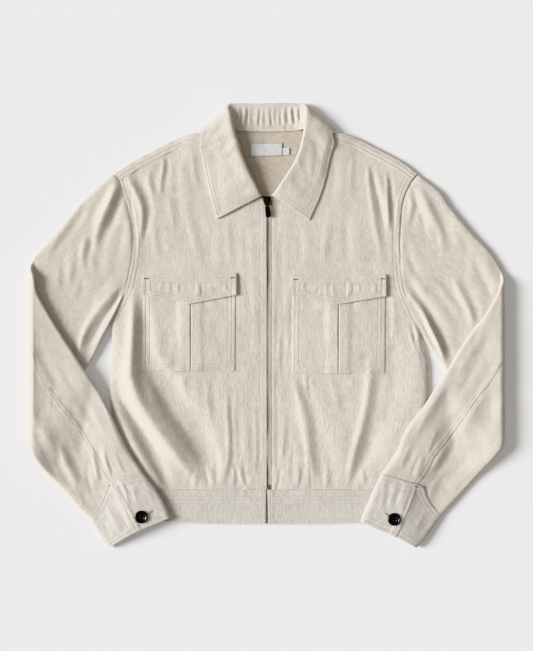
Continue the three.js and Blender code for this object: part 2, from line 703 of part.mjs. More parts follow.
function forePoint(side, patches, v, spot, seam) {
  const width = patches.fore(v, 0).distanceTo(patches.fore(v, 1));
  const w = shareOf(spot, width, seam);
  const p = patches.fore(v, w);
  const belly = 4 * w * (1 - w);
  const low = support(side, p.x, p.y) + CLOTH / 2;
  const crease = folds(FORE_FOLDS[side], p.x, p.y) * smooth(belly / 0.3);
  const high = low + 2 * SLEEVE_HALF - 1.8 * belly * smooth(v / 0.15) + crease;
  return new THREE.Vector3(p.x, p.y, mix(high, low, (spot.layer + 1) / 2));
}

function sleeveGrid(side, spots) {
  const { sign } = SLEEVE[side];
  const patches = sleevePatches(side);
  const rings = [];
  const upperShares = [0, 0.06, 0.2, 0.36, 0.52, 0.68, 0.84, 1];
  const foreShares = [0, 0.07, 0.17, 0.28, 0.39, 0.5, 0.61, 0.72, 0.83, 0.92, 1];
  upperShares.forEach((v) => {
    rings.push(spots.map((spot) => upperPoint(side, patches, v, spot, SEAM_SHARE)));
  });
  const from = rings.at(-1);
  const to = spots.map((spot) => forePoint(side, patches, 0, spot, SEAM_SHARE));
  [0.2, 0.4, 0.6, 0.8].forEach((part) => {
    const angle = Math.PI * part;
    rings.push(from.map((a, k) => {
      const b = to[k];
      const radius = mix(FOLD_Z - a.z, b.z - FOLD_Z, part);
      return new THREE.Vector3(
        mix(a.x, b.x, part) + radius * Math.sin(angle),
        mix(a.y, b.y, part),
        FOLD_Z - radius * Math.cos(angle),
      );
    }));
  });
  foreShares.forEach((v) => {
    rings.push(spots.map((spot) => forePoint(side, patches, v, spot, SEAM_SHARE)));
  });
  return rings.map((ring) => ring.map((p) => new THREE.Vector3(sign * p.x, p.y, p.z)));
}

// Cuff: a two-layer band round the wrist, open at the slit.
const CUFF_DEPTH = 5.8; // between the middles of its two layers
const CUFF = [...TOP_SLEEVE, ...UNDER_SLEEVE.slice(1)];

function cuffPoint(side, patches, v, spot) {
  const seam = mix(SEAM_SHARE, SLEEVE[side].slitAtEnd, v);
  const width = patches.cuff(v, 0).distanceTo(patches.cuff(v, 1));
  const w = shareOf(spot, width, seam);
  const p = patches.cuff(v, w);
  const low = support(side, p.x, p.y) + DOUBLE / 2;
  const high = low + CUFF_DEPTH;
  return new THREE.Vector3(p.x, p.y, mix(high, low, (spot.layer + 1) / 2));
}

function cuffGrid(side) {
  const { sign } = SLEEVE[side];
  const patches = sleevePatches(side);
  return [0.016, 0.25, 0.5, 0.75, 1].map((v) => CUFF.map((spot) => {
    const p = cuffPoint(side, patches, v, spot);
    return new THREE.Vector3(sign * p.x, p.y, p.z);
  }));
}

for (const side of ['right', 'left']) {
  wall('sleeve_top_' + side, sleeveGrid(side, TOP_SLEEVE), CLOTH, CANVAS);
  wall('sleeve_under_' + side, sleeveGrid(side, UNDER_SLEEVE), CLOTH, CANVAS);
  wall('cuff_' + side, cuffGrid(side), DOUBLE, CANVAS);
}

// Collar: one two-layer piece from the neck seam over the roll to the outer edge

function collarSection(row, sign) {
  const spots = {};
  COLLAR_COLUMNS.forEach((key, k) => {
    const [u, y, z] = row[k];
    spots[key] = new THREE.Vector3(sign * u, y, z);
  });
  const { seam, stand, roll, fall, edge } = spots;
  const points = [seam, seam.clone().lerp(stand, 0.5), stand];
  points.push(roll, fall);
  [0.25, 0.5, 0.75].forEach((t) => {
    const p = fall.clone().lerp(edge, t);
    p.z += 0.6 * Math.sin(Math.PI * t);
    points.push(p);
  });
  points.push(edge);
  return points;
}

const collarRows = [
  ...COLLAR.right.map((row) => collarSection(row, -1)),
  collarSection(COLLAR.middle, 1),
  ...[...COLLAR.left].reverse().map((row) => collarSection(row, 1)),
];
wall('collar', collarRows, DOUBLE, CANVAS);

// Zip tapes, under the edges of the fronts

for (const side of ['right', 'left']) {
  const { sign } = BODY[side];
  const rows = [-270, -200, -130, -60, 10, 80, 150, 204];
  wall('zip_tape_' + side, rows.map((y) => [0.9, 6, 12].map((u) => {
    const z = frontZ(side, u, y) - CLOTH / 2 - GAP - 0.6 - 0.5;
    return new THREE.Vector3(sign * u, y, z);
  })), 1.0, CANVAS);
}

// Neck label and size tab, both bare, on the inside of the back

wall('neck_label', [287.5, 298.5, 309.5].map((y) => [-28.5, -1, 26].map((x) => (
  new THREE.Vector3(x, y, BACK_Z + neckLift(0, y) + CLOTH / 2 + GAP + 0.5)
))), 1.0, 0xa9a8a2);
wall('size_tab', [289, 295, 301].map((y) => [26.6, 32, 37.8].map((x) => (
  new THREE.Vector3(x, y, BACK_Z + neckLift(0, y) + CLOTH / 2 + GAP + 0.5)
))), 1.0, 0xe8e6e0);

// Hard pieces: buttons, zip slider and pull tab, joined with manifold-3d

const wasm = await Module();
wasm.setup();

function solid(geometry) {
  const g = geometry.index ? geometry.toNonIndexed() : geometry;
  const position = g.getAttribute('position');
  const seen = new Map();
  const verts = [];
  const tris = [];
  for (let k = 0; k < position.count; k += 1) {
    const p = [position.getX(k), position.getY(k), position.getZ(k)];
    const key = p.map((value) => Math.round(value * 1e4)).join(' ');
    if (!seen.has(key)) {
      seen.set(key, verts.length / 3);
      verts.push(...p);
    }
    tris.push(seen.get(key));
    const [a, b, c] = tris.slice(-3);
    if (tris.length % 3 === 0 && (a === b || b === c || a === c)) tris.length -= 3;
  }
  return new wasm.Manifold(new wasm.Mesh({
    numProp: 3,
    vertProperties: new Float32Array(verts),
    triVerts: new Uint32Array(tris),
  }));
}

function addSolid(name, made, colour) {
  const mesh = made.getMesh();
  const geometry = new THREE.BufferGeometry();
  geometry.setAttribute('position', new THREE.BufferAttribute(new Float32Array(mesh.vertProperties), 3));
  geometry.setIndex(new THREE.BufferAttribute(new Uint32Array(mesh.triVerts), 1));
  add(name, geometry, colour);
}

const BUTTON = { radius: 10.9, rim: 1.4, height: 3.2, holes: 2.6, hole: 0.95 };

function button(u, y, z) {
  const profile = [
    [0, 0],
    [BUTTON.radius - 2.2, 0],
    [BUTTON.radius, 1.3],
    [BUTTON.radius - 0.5, 2.6],
    [BUTTON.radius - 1.6, BUTTON.height],
    [BUTTON.radius - 2.8, 2.7],
    [BUTTON.radius - 4.4, 1.9],
    [0, 1.8],
  ].map((row) => new THREE.Vector2(row[0], row[1]));
  const body = new THREE.LatheGeometry(profile, 28);
  body.rotateX(Math.PI / 2);
  body.translate(u, y, z);
  let made = solid(body);
  [0, 1, 2, 3].forEach((k) => {
    const angle = (Math.PI / 2) * k + Math.PI / 4;
    const hole = new THREE.CylinderGeometry(BUTTON.hole, BUTTON.hole, 8, 8);
    hole.rotateX(Math.PI / 2);
    hole.translate(u + BUTTON.holes * Math.cos(angle), y + BUTTON.holes * Math.sin(angle), z + 1);
    made = made.subtract(solid(hole));
  });
  return made;
}

for (const side of ['right', 'left']) {
  const { sign, button: at } = SLEEVE[side];
  const z = support(side, at[0], at[1]) + DOUBLE + CUFF_DEPTH + GAP;
  addSolid('button_' + side, button(sign * at[0], at[1], z), TRIM);
}

// Slider: a body that narrows downwards, with a bail on top for the pull
const SLIDER = { top: 219, waist: 209, foot: 203.5, z: 6.4, thick: 2.6, wide: 7, narrow: 3.6 };

// Side outline of the bail, each row y and height over the body.
const ARCH = [
  [216, -0.5], [215.6, 2.4], [214.2, 4.2], [206.4, 4.2], [205.2, 2.6], [204.8, -0.5],
  [206.6, -0.5], [206.9, 1.9], [207.8, 2.8], [213.2, 2.8], [213.9, 1.9], [214.2, -0.5],
];

function slider() {
  const outline = new THREE.Shape();
  outline.moveTo(-SLIDER.wide + 1.5, SLIDER.top);
  outline.lineTo(-SLIDER.wide, SLIDER.top - 2);
  outline.lineTo(-SLIDER.wide + 0.4, SLIDER.waist + 3);
  outline.lineTo(-SLIDER.narrow, SLIDER.foot + 1.5);
  outline.lineTo(-SLIDER.narrow + 1, SLIDER.foot);
  outline.lineTo(SLIDER.narrow - 1, SLIDER.foot);
  outline.lineTo(SLIDER.narrow, SLIDER.foot + 1.5);
  outline.lineTo(SLIDER.wide - 0.4, SLIDER.waist + 3);
  outline.lineTo(SLIDER.wide, SLIDER.top - 2);
  outline.lineTo(SLIDER.wide - 1.5, SLIDER.top);
  const plate = new THREE.ExtrudeGeometry(outline, { depth: SLIDER.thick, bevelEnabled: false });
  plate.translate(0, 0, SLIDER.z);
  const arch = new THREE.Shape();
  ARCH.forEach(([y, z], k) => (k ? arch.lineTo(y, z) : arch.moveTo(y, z)));
  const bail = new THREE.ExtrudeGeometry(arch, { depth: 2.6, bevelEnabled: false });
  bail.applyMatrix4(new THREE.Matrix4().set(0, 0, 1, 0, 1, 0, 0, 0, 0, 1, 0, 0, 0, 0, 0, 1));
  bail.translate(-1.3, 0, SLIDER.z + SLIDER.thick);
  return solid(plate).add(solid(bail));
}

addSolid('zip_slider', slider(), TRIM);

// Pull tab: turns about its cross bar, which lies under the bail
const PULL = {
  y: 209.6,
  z: SLIDER.z + SLIDER.thick + 1.4,
  thick: 1.6,
  neck: 3.2,
  wide: 4.7,
  slot: 6.8,
  slotWide: 4.4,
  bar: 1.1,
  length: 26.5,
};
const PULL_TURN = THREE.MathUtils.degToRad(6.5); // it lies a little askew
const PULL_DROP = THREE.MathUtils.degToRad(1.6);

function pullTab() {
  const half = [
    [PULL.neck - 0.5, 0.9],
    [PULL.neck, 0.4],
    [PULL.neck, -PULL.slot],
    [PULL.wide - 0.6, -PULL.slot - 2.2],
    [PULL.wide, -PULL.length + 4],
    [PULL.wide - 0.5, -PULL.length + 1.8],
    [PULL.wide - 1.6, -PULL.length + 0.5],
    [PULL.wide - 3.4, -PULL.length],
  ];
  const mirrored = [...half].reverse().map(([x, y]) => [-x, y]);
  const outline = new THREE.Shape([...half, ...mirrored].map(([x, y]) => new THREE.Vector2(x, y)));
  const plate = new THREE.ExtrudeGeometry(outline, { depth: PULL.thick, bevelEnabled: false });
  plate.translate(0, 0, -PULL.thick / 2);
  const slot = new THREE.BoxGeometry(PULL.slotWide, PULL.slot - 0.9, 4);
  slot.translate(0, -(PULL.slot + 0.9) / 2, 0);
  const turn = new THREE.Matrix4().makeTranslation(0, PULL.y, PULL.z);
  turn.multiply(new THREE.Matrix4().makeRotationZ(PULL_TURN));
  turn.multiply(new THREE.Matrix4().makeRotationX(PULL_DROP));
  const bar = new THREE.CylinderGeometry(PULL.bar, PULL.bar, 2 * PULL.neck, 16);
  bar.rotateZ(Math.PI / 2);
  return solid(plate).subtract(solid(slot)).add(solid(bar)).transform(turn.elements);
}

addSolid('zip_pull_tab', pullTab(), TRIM);

// The part's origin: middle of its outline, on the surface it lies on
const extent = new THREE.Box3().setFromObject(group);
const middle = extent.getCenter(new THREE.Vector3());
group.position.set(-middle.x, -middle.y, -extent.min.z);

export default group;
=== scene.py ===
import math

import bmesh
import bpy
import numpy as np
from mathutils import Matrix, Vector


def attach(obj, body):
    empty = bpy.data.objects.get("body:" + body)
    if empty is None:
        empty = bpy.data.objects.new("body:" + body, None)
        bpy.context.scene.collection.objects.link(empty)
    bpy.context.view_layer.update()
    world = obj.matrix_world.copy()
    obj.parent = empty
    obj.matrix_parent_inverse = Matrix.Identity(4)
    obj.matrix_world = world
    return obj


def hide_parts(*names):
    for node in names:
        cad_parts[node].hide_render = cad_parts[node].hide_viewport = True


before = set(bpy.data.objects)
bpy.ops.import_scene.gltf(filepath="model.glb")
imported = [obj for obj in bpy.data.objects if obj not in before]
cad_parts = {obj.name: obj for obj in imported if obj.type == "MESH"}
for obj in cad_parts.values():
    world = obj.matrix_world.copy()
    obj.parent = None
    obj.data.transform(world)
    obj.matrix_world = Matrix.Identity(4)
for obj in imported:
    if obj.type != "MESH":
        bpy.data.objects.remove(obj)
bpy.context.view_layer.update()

# BACK. One panel of heavy cotton canvas, flat on the table, turned over the shoulders and
# sewn to the fronts a little way down the chest. Only its neck part and the shoulder strips show.

ORIGIN = np.array([-0.07, -0.40, 0.0])  # millimetres, the part's own frame
CLOTH = 1.2
BACK_Z = 0.6
FRONT_Z = 5.4
SHOULDER_R = (FRONT_Z - BACK_Z) / 2
SHOULDER_LINE = [
    (0, 329.5), (30, 330.5), (58, 336), (75, 341), (91, 333.5), (105, 327.5),
    (131, 325.5), (158, 316), (185, 302), (214, 287), (236, 274),
]
NECK_SHARE = 0.29
HEM_Y = -278

SIGN = {"right": -1, "left": 1}
SHOULDER_END = {"right": (258.2, 260), "left": (255.2, 258.6)}
ARMPIT = {"right": 10, "left": -4}
ARMHOLE = {
    "right": [(265, 10), (249, 42), (238, 66), (232, 95), (227, 130),
              (227, 158), (232, 189), (240, 217), (251, 243), (260, 258.5)],
    "left": [(261, -4), (253, 12), (242, 35), (231, 65), (226, 98), (225, 135),
             (226, 169), (228, 201), (234, 224), (243, 242), (257, 257)],
}
SIDE_SEAM = {
    "right": [(219, -278), (238, -242), (256, -194), (265, -143),
              (267, -106), (266, -79), (262, -33), (265, 10)],
    "left": [(220, -278), (240, -242), (259, -194), (271, -147),
             (275, -106), (274, -65), (267, -34), (261, -4)],
}


def mix(a, b, t):
    return a + (b - a) * t


def smooth(t):
    k = np.clip(t, 0, 1)
    return k * k * (3 - 2 * k)


def curve(rows):
    """A soft curve through the rows, walked evenly from 0 to 1."""
    p = np.array(rows, float)
    p = np.vstack([p[:1], p, p[-1:]])
    dense = []
    for k in range(len(p) - 3):
        t = np.linspace(0, 1, 40, endpoint=False)[:, None]
        p0, p1, p2, p3 = p[k], p[k + 1], p[k + 2], p[k + 3]
        a, b = 2 * p0 - 5 * p1 + 4 * p2 - p3, 3 * (p1 - p2) + p3 - p0
        dense.append(0.5 * (2 * p1 + (p2 - p0) * t + a * t * t + b * t ** 3))
    dense = np.vstack(dense + [p[-1:]])
    run = np.concatenate([[0], np.cumsum(np.linalg.norm(np.diff(dense, axis=0), axis=1))])
    run /= run[-1]

    def walk(t):
        t = np.asarray(t, float)
        return np.stack([np.interp(t, run, dense[:, k]) for k in range(dense.shape[1])], -1)
    return walk


def patch(start, end, low, high):
    """The surface between four edges, a along start and end, b from one to the other."""
    def point(a, b):
        a, b = np.broadcast_arrays(np.asarray(a, float), np.asarray(b, float))
        a1, b1 = a[..., None], b[..., None]
        flat = start(a) * (1 - b1) + end(a) * b1 + low(b) * (1 - a1) + high(b) * a1
        flat -= start(0) * (1 - a1) * (1 - b1) + start(1) * a1 * (1 - b1)
        return flat - end(0) * (1 - a1) * b1 - end(1) * a1 * b1
    return point


def lattice(x, y, seed):
    """Soft random bumps between -1 and 1, one to each unit of x and y."""
    table = np.random.RandomState(seed).uniform(-1, 1, (64, 64))
    i, j = np.floor(x).astype(int), np.floor(y).astype(int)
    f, g = smooth(x - i), smooth(y - j)
    corner = lambda p, q: table[(i + p) % 64, (j + q) % 64]
    return mix(mix(corner(0, 0), corner(1, 0), f), mix(corner(0, 1), corner(1, 1), f), g)


def folds(lines, u, y, sign):
    """Height of listed folds. Each is a line of u, y, width, height, drawn along its slope.
    Across it, going away from the light on the left, the cloth climbs by about the height, or
    falls where it is negative, and settles back on both sides. It dies out at both ends."""
    u, y = np.broadcast_arrays(np.asarray(u, float), np.asarray(y, float))
    total = np.zeros(u.shape)
    for line in lines:
        path = curve(line)(np.linspace(0, 1, 15))
        way = np.diff(path[:, :2], axis=0)
        du, dy = u[..., None] - path[:-1, 0], y[..., None] - path[:-1, 1]
        t = np.clip((du * way[:, 0] + dy * way[:, 1]) / (way ** 2).sum(axis=1), 0, 1)
        far = np.hypot(du - t * way[:, 0], dy - t * way[:, 1])
        nearest = np.argmin(far, axis=-1)[..., None]
        pick = lambda values: np.take_along_axis(values, nearest, -1)[..., 0]
        run = (nearest[..., 0] + pick(t)) / 14
        across = np.sign(pick(du * way[:, 1] - dy * way[:, 0])) * pick(far)
        if sign * (line[-1][1] - line[0][1]) + 0.05 * (line[-1][0] - line[0][0]) < 0:
            across = -across
        width = np.interp(run * 14, np.arange(15), path[:, 2])
        height = np.interp(run * 14, np.arange(15), path[:, 3]) * smooth(run * 4.5) * smooth((1 - run) * 4.5)
        step = across / width
        step = step * (1 - 0.24 * np.tanh(step))
        total = total + 1.4 * height * step * np.exp(-np.abs(step) ** 3)
        total = total + 0.3 * np.abs(height) * np.exp(-(step / 1.7) ** 2)
    return total


def sunk(height, depth):
    """Hollows held above the layer beneath."""
    return np.where(height < 0, -depth * np.tanh(-height / depth), height)


def ripples(along, away, period, reach, seed, sharp=1.0):
    """Puckers drawn by a seam: uneven across, dying out away from it."""
    turn = lattice(along / period, np.zeros_like(along) + 0.5, seed)
    small = lattice(along / (period * 0.43), np.zeros_like(along) + 9.5, seed + 1)
    long = 0.55 + 0.45 * lattice(along / (period * 2.3), np.zeros_like(along) + 5.5, seed + 2)
    return (turn + 0.45 * small * np.exp(-away / (reach * 0.4))) * np.exp(-(away / (reach * long + 1)) ** sharp)


def canvas(name, colour, dark=0.0):
    """Woven canvas. Rows of sewing lie in shallow grooves, 5 and 11 mm from the seam
    that the mesh attribute 'edge' measures from."""
    mat = bpy.data.materials.new(name)
    mat.use_nodes = True
    n, link = mat.node_tree.nodes, mat.node_tree.links.new
    n.clear()
    out = n.new("ShaderNodeOutputMaterial")
    bsdf = n.new("ShaderNodeBsdfPrincipled")
    bsdf.inputs["Roughness"].default_value = 0.93
    bsdf.inputs["Specular IOR Level"].default_value = 0.18
    bsdf.inputs["Sheen Weight"].default_value = 0.12
    bsdf.inputs["Sheen Roughness"].default_value = 0.5
    link(bsdf.outputs[0], out.inputs[0])
    uv = n.new("ShaderNodeUVMap")
    uv.uv_map = "grain"
    coord = n.new("ShaderNodeTexCoord")

    split = n.new("ShaderNodeSeparateXYZ")
    link(uv.outputs[0], split.inputs[0])
    waves = []
    for k in range(2):
        scaled = n.new("ShaderNodeMath")
        scaled.operation = "MULTIPLY"
        scaled.inputs[1].default_value = 2 * math.pi / 0.00115
        link(split.outputs[k], scaled.inputs[0])
        wave = n.new("ShaderNodeMath")
        wave.operation = "SINE"
        link(scaled.outputs[0], wave.inputs[0])
        waves.append(wave)
    weave = n.new("ShaderNodeMath")
    weave.operation = "MULTIPLY"
    link(waves[0].outputs[0], weave.inputs[0])
    link(waves[1].outputs[0], weave.inputs[1])

    slub = n.new("ShaderNodeTexNoise")
    slub.inputs["Scale"].default_value = 300
    slub.inputs["Detail"].default_value = 3
    stretch = n.new("ShaderNodeMapping")
    stretch.inputs["Scale"].default_value = (1.0, 0.28, 1.0)
    link(uv.outputs[0], stretch.inputs[0])
    link(stretch.outputs[0], slub.inputs["Vector"])

    cloud = n.new("ShaderNodeTexNoise")
    cloud.inputs["Scale"].default_value = 16
    cloud.inputs["Detail"].default_value = 5
    cloud.inputs["Roughness"].default_value = 0.6
    link(coord.outputs["Object"], cloud.inputs["Vector"])

    edge = n.new("ShaderNodeAttribute")
    edge.attribute_name = "edge"
    reach = n.new("ShaderNodeMath")
    reach.operation = "DIVIDE"
    reach.inputs[1].default_value = 16
    link(edge.outputs["Fac"], reach.inputs[0])
    groove = n.new("ShaderNodeValToRGB")
    stops = [(0.0, 0.55), (0.06, 0.95), (0.25, 0.95), (0.344, 0.35), (0.44, 0.85),
             (0.65, 0.85), (0.75, 0.3), (0.85, 0.62), (1.0, 0.6)]
    while len(groove.color_ramp.elements) < len(stops):
        groove.color_ramp.elements.new(0.5)
    for element, (at, value) in zip(groove.color_ramp.elements, stops):
        element.position = at
        element.color = (value, value, value, 1)
    link(reach.outputs[0], groove.inputs[0])

    height = n.new("ShaderNodeMath")
    height.operation = "MULTIPLY_ADD"
    height.inputs[1].default_value = 0.00011
    link(weave.outputs[0], height.inputs[0])
    rough = n.new("ShaderNodeMath")
    rough.operation = "MULTIPLY_ADD"
    rough.inputs[1].default_value = 0.00062
    link(slub.outputs[0], rough.inputs[0])
    rows = n.new("ShaderNodeMath")
    rows.operation = "MULTIPLY"
    rows.inputs[1].default_value = 0.00075
    link(groove.outputs[0], rows.inputs[0])
    link(rows.outputs[0], rough.inputs[2])
    link(rough.outputs[0], height.inputs[2])
    bump = n.new("ShaderNodeBump")
    bump.inputs["Strength"].default_value = 1.0
    bump.inputs["Distance"].default_value = 1.0
    link(height.outputs[0], bump.inputs["Height"])
    link(bump.outputs[0], bsdf.inputs["Normal"])

    tone = n.new("ShaderNodeMapRange")
    tone.inputs["From Min"].default_value = 0.3
    tone.inputs["From Max"].default_value = 0.7
    tone.inputs["To Min"].default_value = 0.94 - dark
    tone.inputs["To Max"].default_value = 1.04 - dark
    link(cloud.outputs[0], tone.inputs[0])
    fleck = n.new("ShaderNodeMapRange")
    fleck.inputs["From Min"].default_value = 0.25
    fleck.inputs["From Max"].default_value = 0.75
    fleck.inputs["To Min"].default_value = 0.86
    fleck.inputs["To Max"].default_value = 1.10
    link(slub.outputs[0], fleck.inputs[0])
    # painted shade: the colour is darkened in the stitch grooves and along the seam edge, where shade falls
    groove_shade = n.new("ShaderNodeMapRange")
    groove_shade.inputs["From Min"].default_value = 0.3
    groove_shade.inputs["From Max"].default_value = 0.62
    groove_shade.inputs["To Min"].default_value = 0.93
    groove_shade.inputs["To Max"].default_value = 1.0
    link(groove.outputs[0], groove_shade.inputs[0])
    both = n.new("ShaderNodeMath")
    both.operation = "MULTIPLY"
    link(tone.outputs[0], both.inputs[0])
    link(fleck.outputs[0], both.inputs[1])
    every = n.new("ShaderNodeMath")
    every.operation = "MULTIPLY"
    link(both.outputs[0], every.inputs[0])
    link(groove_shade.outputs[0], every.inputs[1])
    paint = n.new("ShaderNodeVectorMath")
    paint.operation = "SCALE"
    paint.inputs[0].default_value = colour
    link(every.outputs[0], paint.inputs["Scale"])
    link(paint.outputs[0], bsdf.inputs["Base Color"])
    return mat


def cloth(name, points, thickness, material, nodes=(), edge=None):
    """A thin shell about a grid of points in millimetres."""
    rows, cols = points.shape[:2]
    bm = bmesh.new()
    bmesh.ops.create_grid(bm, x_segments=cols - 1, y_segments=rows - 1, size=1)
    place = (points + ORIGIN) * 0.001
    step_a = np.linalg.norm(np.diff(points, axis=0), axis=2).mean(1)
    step_b = np.linalg.norm(np.diff(points, axis=1), axis=2).mean(0)
    run_a = np.concatenate([[0], np.cumsum(step_a)]) * 0.001
    run_b = np.concatenate([[0], np.cumsum(step_b)]) * 0.001
    layer = bm.verts.layers.float.new("edge")
    spot = {}
    for v in bm.verts:
        j = round((v.co.x + 1) / 2 * (cols - 1))
        i = round((v.co.y + 1) / 2 * (rows - 1))
        v.co = place[i, j]
        v[layer] = 50.0 if edge is None else float(edge[i, j])
        spot[v] = (run_b[j], run_a[i])
    grain = bm.loops.layers.uv.new("grain")
    for e in bm.edges:
        e.smooth = not e.is_boundary
    for f in bm.faces:
        f.smooth = True
        for corner in f.loops:
            corner[grain].uv = spot[corner.vert]
    mesh = bpy.data.meshes.new(name)
    bm.to_mesh(mesh)
    bm.free()
    obj = bpy.data.objects.new(name, mesh)
    bpy.context.scene.collection.objects.link(obj)
    mesh.materials.append(material)
    shell = obj.modifiers.new("thickness", "SOLIDIFY")
    shell.thickness = thickness * 0.001
    shell.offset = 0
    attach(obj, "jacket")
    if nodes:
        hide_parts(*nodes)
    return obj


def normals(points):
    a = np.gradient(points, axis=0)
    b = np.gradient(points, axis=1)
    n = np.cross(b, a)
    n /= np.linalg.norm(n, axis=2)[..., None] + 1e-9
    return n


def line_at(points, i, j):
    """Points and normals at fractional rows i and columns j of a grid."""
    n = normals(points)
    i = np.clip(np.asarray(i, float), 0, points.shape[0] - 1.001)
    j = np.clip(np.asarray(j, float), 0, points.shape[1] - 1.001)
    p, q = i.astype(int), j.astype(int)
    f, g = (i - p)[..., None], (j - q)[..., None]

    def blend(grid):
        low = mix(grid[p, q], grid[p + 1, q], f)
        return mix(low, mix(grid[p, q + 1], grid[p + 1, q + 1], f), g)
    return blend(points), blend(n)


def inset(points, side, distance):
    """The line a given distance in from one side of a grid: top, bottom, first or last."""
    rows, cols = points.shape[:2]
    across = side in ("first", "last")
    grid = points if across else points.transpose(1, 0, 2)
    run = np.linalg.norm(np.diff(grid, axis=1), axis=2)
    if side in ("last", "top"):
        run = run[:, ::-1]
    run = np.concatenate([np.zeros((len(run), 1)), np.cumsum(run, axis=1)], axis=1)
    step = np.array([np.interp(distance, r, np.arange(len(r))) for r in run])
    if side in ("last", "top"):
        step = grid.shape[1] - 1 - step
    other = np.arange(len(step), dtype=float)
    return line_at(points, other, step) if across else line_at(points, step, other)


def thread_material():
    mat = bpy.data.materials.new("sewing_thread")
    mat.use_nodes = True
    bsdf = mat.node_tree.nodes["Principled BSDF"]
    bsdf.inputs["Base Color"].default_value = (0.66, 0.585, 0.49, 1)
    bsdf.inputs["Roughness"].default_value = 0.7
    bsdf.inputs["Sheen Weight"].default_value = 0.2
    return mat


THREAD = thread_material()


def stitches(name, lines, lift, pitch=3.4, width=0.52, material=THREAD):
    """Rows of lockstitch: short threads end to end along each line of (points, normals)."""
    bm = bmesh.new()
    for points, normal in lines:
        length = np.linalg.norm(np.diff(points, axis=0), axis=1)
        run = np.concatenate([[0], np.cumsum(length)])
        count = int(run[-1] / pitch)
        if count < 1:
            continue
        middle = (np.arange(count) + 0.5) * run[-1] / count
        at = np.stack([np.interp(middle, run, points[:, k]) for k in range(3)], -1)
        ahead = np.stack([np.interp(middle + 0.8, run, points[:, k]) for k in range(3)], -1)
        behind = np.stack([np.interp(middle - 0.8, run, points[:, k]) for k in range(3)], -1)
        up = np.stack([np.interp(middle, run, normal[:, k]) for k in range(3)], -1)
        for k in range(count):
            z = Vector(up[k]).normalized()
            if z.z < 0 and lift > 0:
                z = -z
            x = Vector(ahead[k] - behind[k]).normalized()
            y = z.cross(x).normalized()
            x = y.cross(z)
            where = Vector((at[k] + ORIGIN) * 0.001) + z * lift * 0.001
            shape = Matrix((x * pitch * 0.42e-3, y * width * 0.5e-3, z * width * 0.4e-3)).transposed().to_4x4()
            shape.translation = where
            bmesh.ops.create_icosphere(bm, subdivisions=1, radius=1, matrix=shape)
    for f in bm.faces:
        f.smooth = True
    mesh = bpy.data.meshes.new(name)
    bm.to_mesh(mesh)
    bm.free()
    obj = bpy.data.objects.new(name, mesh)
    bpy.context.scene.collection.objects.link(obj)
    mesh.materials.append(material)
    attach(obj, "jacket")
    return obj


def neck_lift(u, y):
    return 3.0 * smooth((160 - u) / 36) * smooth((y - 262) / 34)


def shoulder(side, share, inward):
    walk = curve(SHOULDER_LINE + [SHOULDER_END[side]])
    share = np.asarray(share, float)
    p, ahead, behind = walk(share), walk(np.minimum(1, share + 0.004)), walk(np.maximum(0, share - 0.004))
    t = ahead - behind
    t /= np.linalg.norm(t, axis=-1)[..., None]
    inward = np.asarray(inward, float)[..., None]
    return p + np.stack([t[..., 1], -t[..., 0]], -1) * inward


def back_half(side, shares):
    edge = curve([(u - 1.2, y) for u, y in SIDE_SEAM[side] + ARMHOLE[side][1:]])
    axis = SHOULDER_R + CLOTH / 2

    def top(a):
        a = np.asarray(a, float)
        in_neck = a < NECK_SHARE
        p = shoulder(side, a, np.where(in_neck, 0, axis))
        p[..., 1] -= np.where(in_neck, 4.8, 0)
        return p

    def high(b):
        p = edge(b)
        return p + (top(1) - edge(1)) * smooth((np.asarray(b) - 0.8) / 0.2)[..., None]

    low = lambda b: np.stack([0 * np.asarray(b), mix(HEM_Y, top(0)[1], np.asarray(b))], -1)
    bottom = lambda a: np.stack([edge(0)[0] * np.asarray(a), HEM_Y + 0 * np.asarray(a)], -1)
    rows = np.concatenate([np.linspace(0, 0.84, 30, endpoint=False), np.linspace(0.84, 1, 30)])
    p = patch(bottom, top, low, high)(shares[:, None], rows[None, :])
    u, y = p[..., 0], p[..., 1]
    soft = 0.25 * lattice(u / 26, y / 33, 5) * smooth((y - 200) / 60) * smooth((325 - y) / 30)
    z = BACK_Z + neck_lift(u, y) + np.maximum(0, soft + 0.1)
    flat = np.stack([u, y, z], -1)
    parts = [flat]
    base = top(shares)
    z0 = BACK_Z + neck_lift(base[:, 0], base[:, 1])
    turn = np.concatenate([np.linspace(0, 1, 9)[1:], np.ones(7)])
    back = np.concatenate([np.zeros(8), np.linspace(0, 14.2, 8)[1:]])
    neck = shares < NECK_SHARE
    for k, (t, inward) in enumerate(zip(turn, back)):
        r = SHOULDER_R
        p = shoulder(side, shares, axis - r * math.sin(math.pi * t) + inward)
        h = z0 + r * (1 - math.cos(math.pi * t))
        along = shares * 280
        h = h + (0.28 * ripples(along, 0 * along, 9, 8, 70 + SIGN[side]) + 0.55) * (t >= 1) * smooth(inward / 5)
        p[neck] = base[neck] + np.array([0, 0.34 * (k + 1)])
        h = np.where(neck, z0, h)
        parts.append(np.stack([p[:, 0], p[:, 1], h], -1)[:, None, :])
    grid = np.concatenate(parts, axis=1)
    grid[..., 0] *= SIGN[side]
    return grid
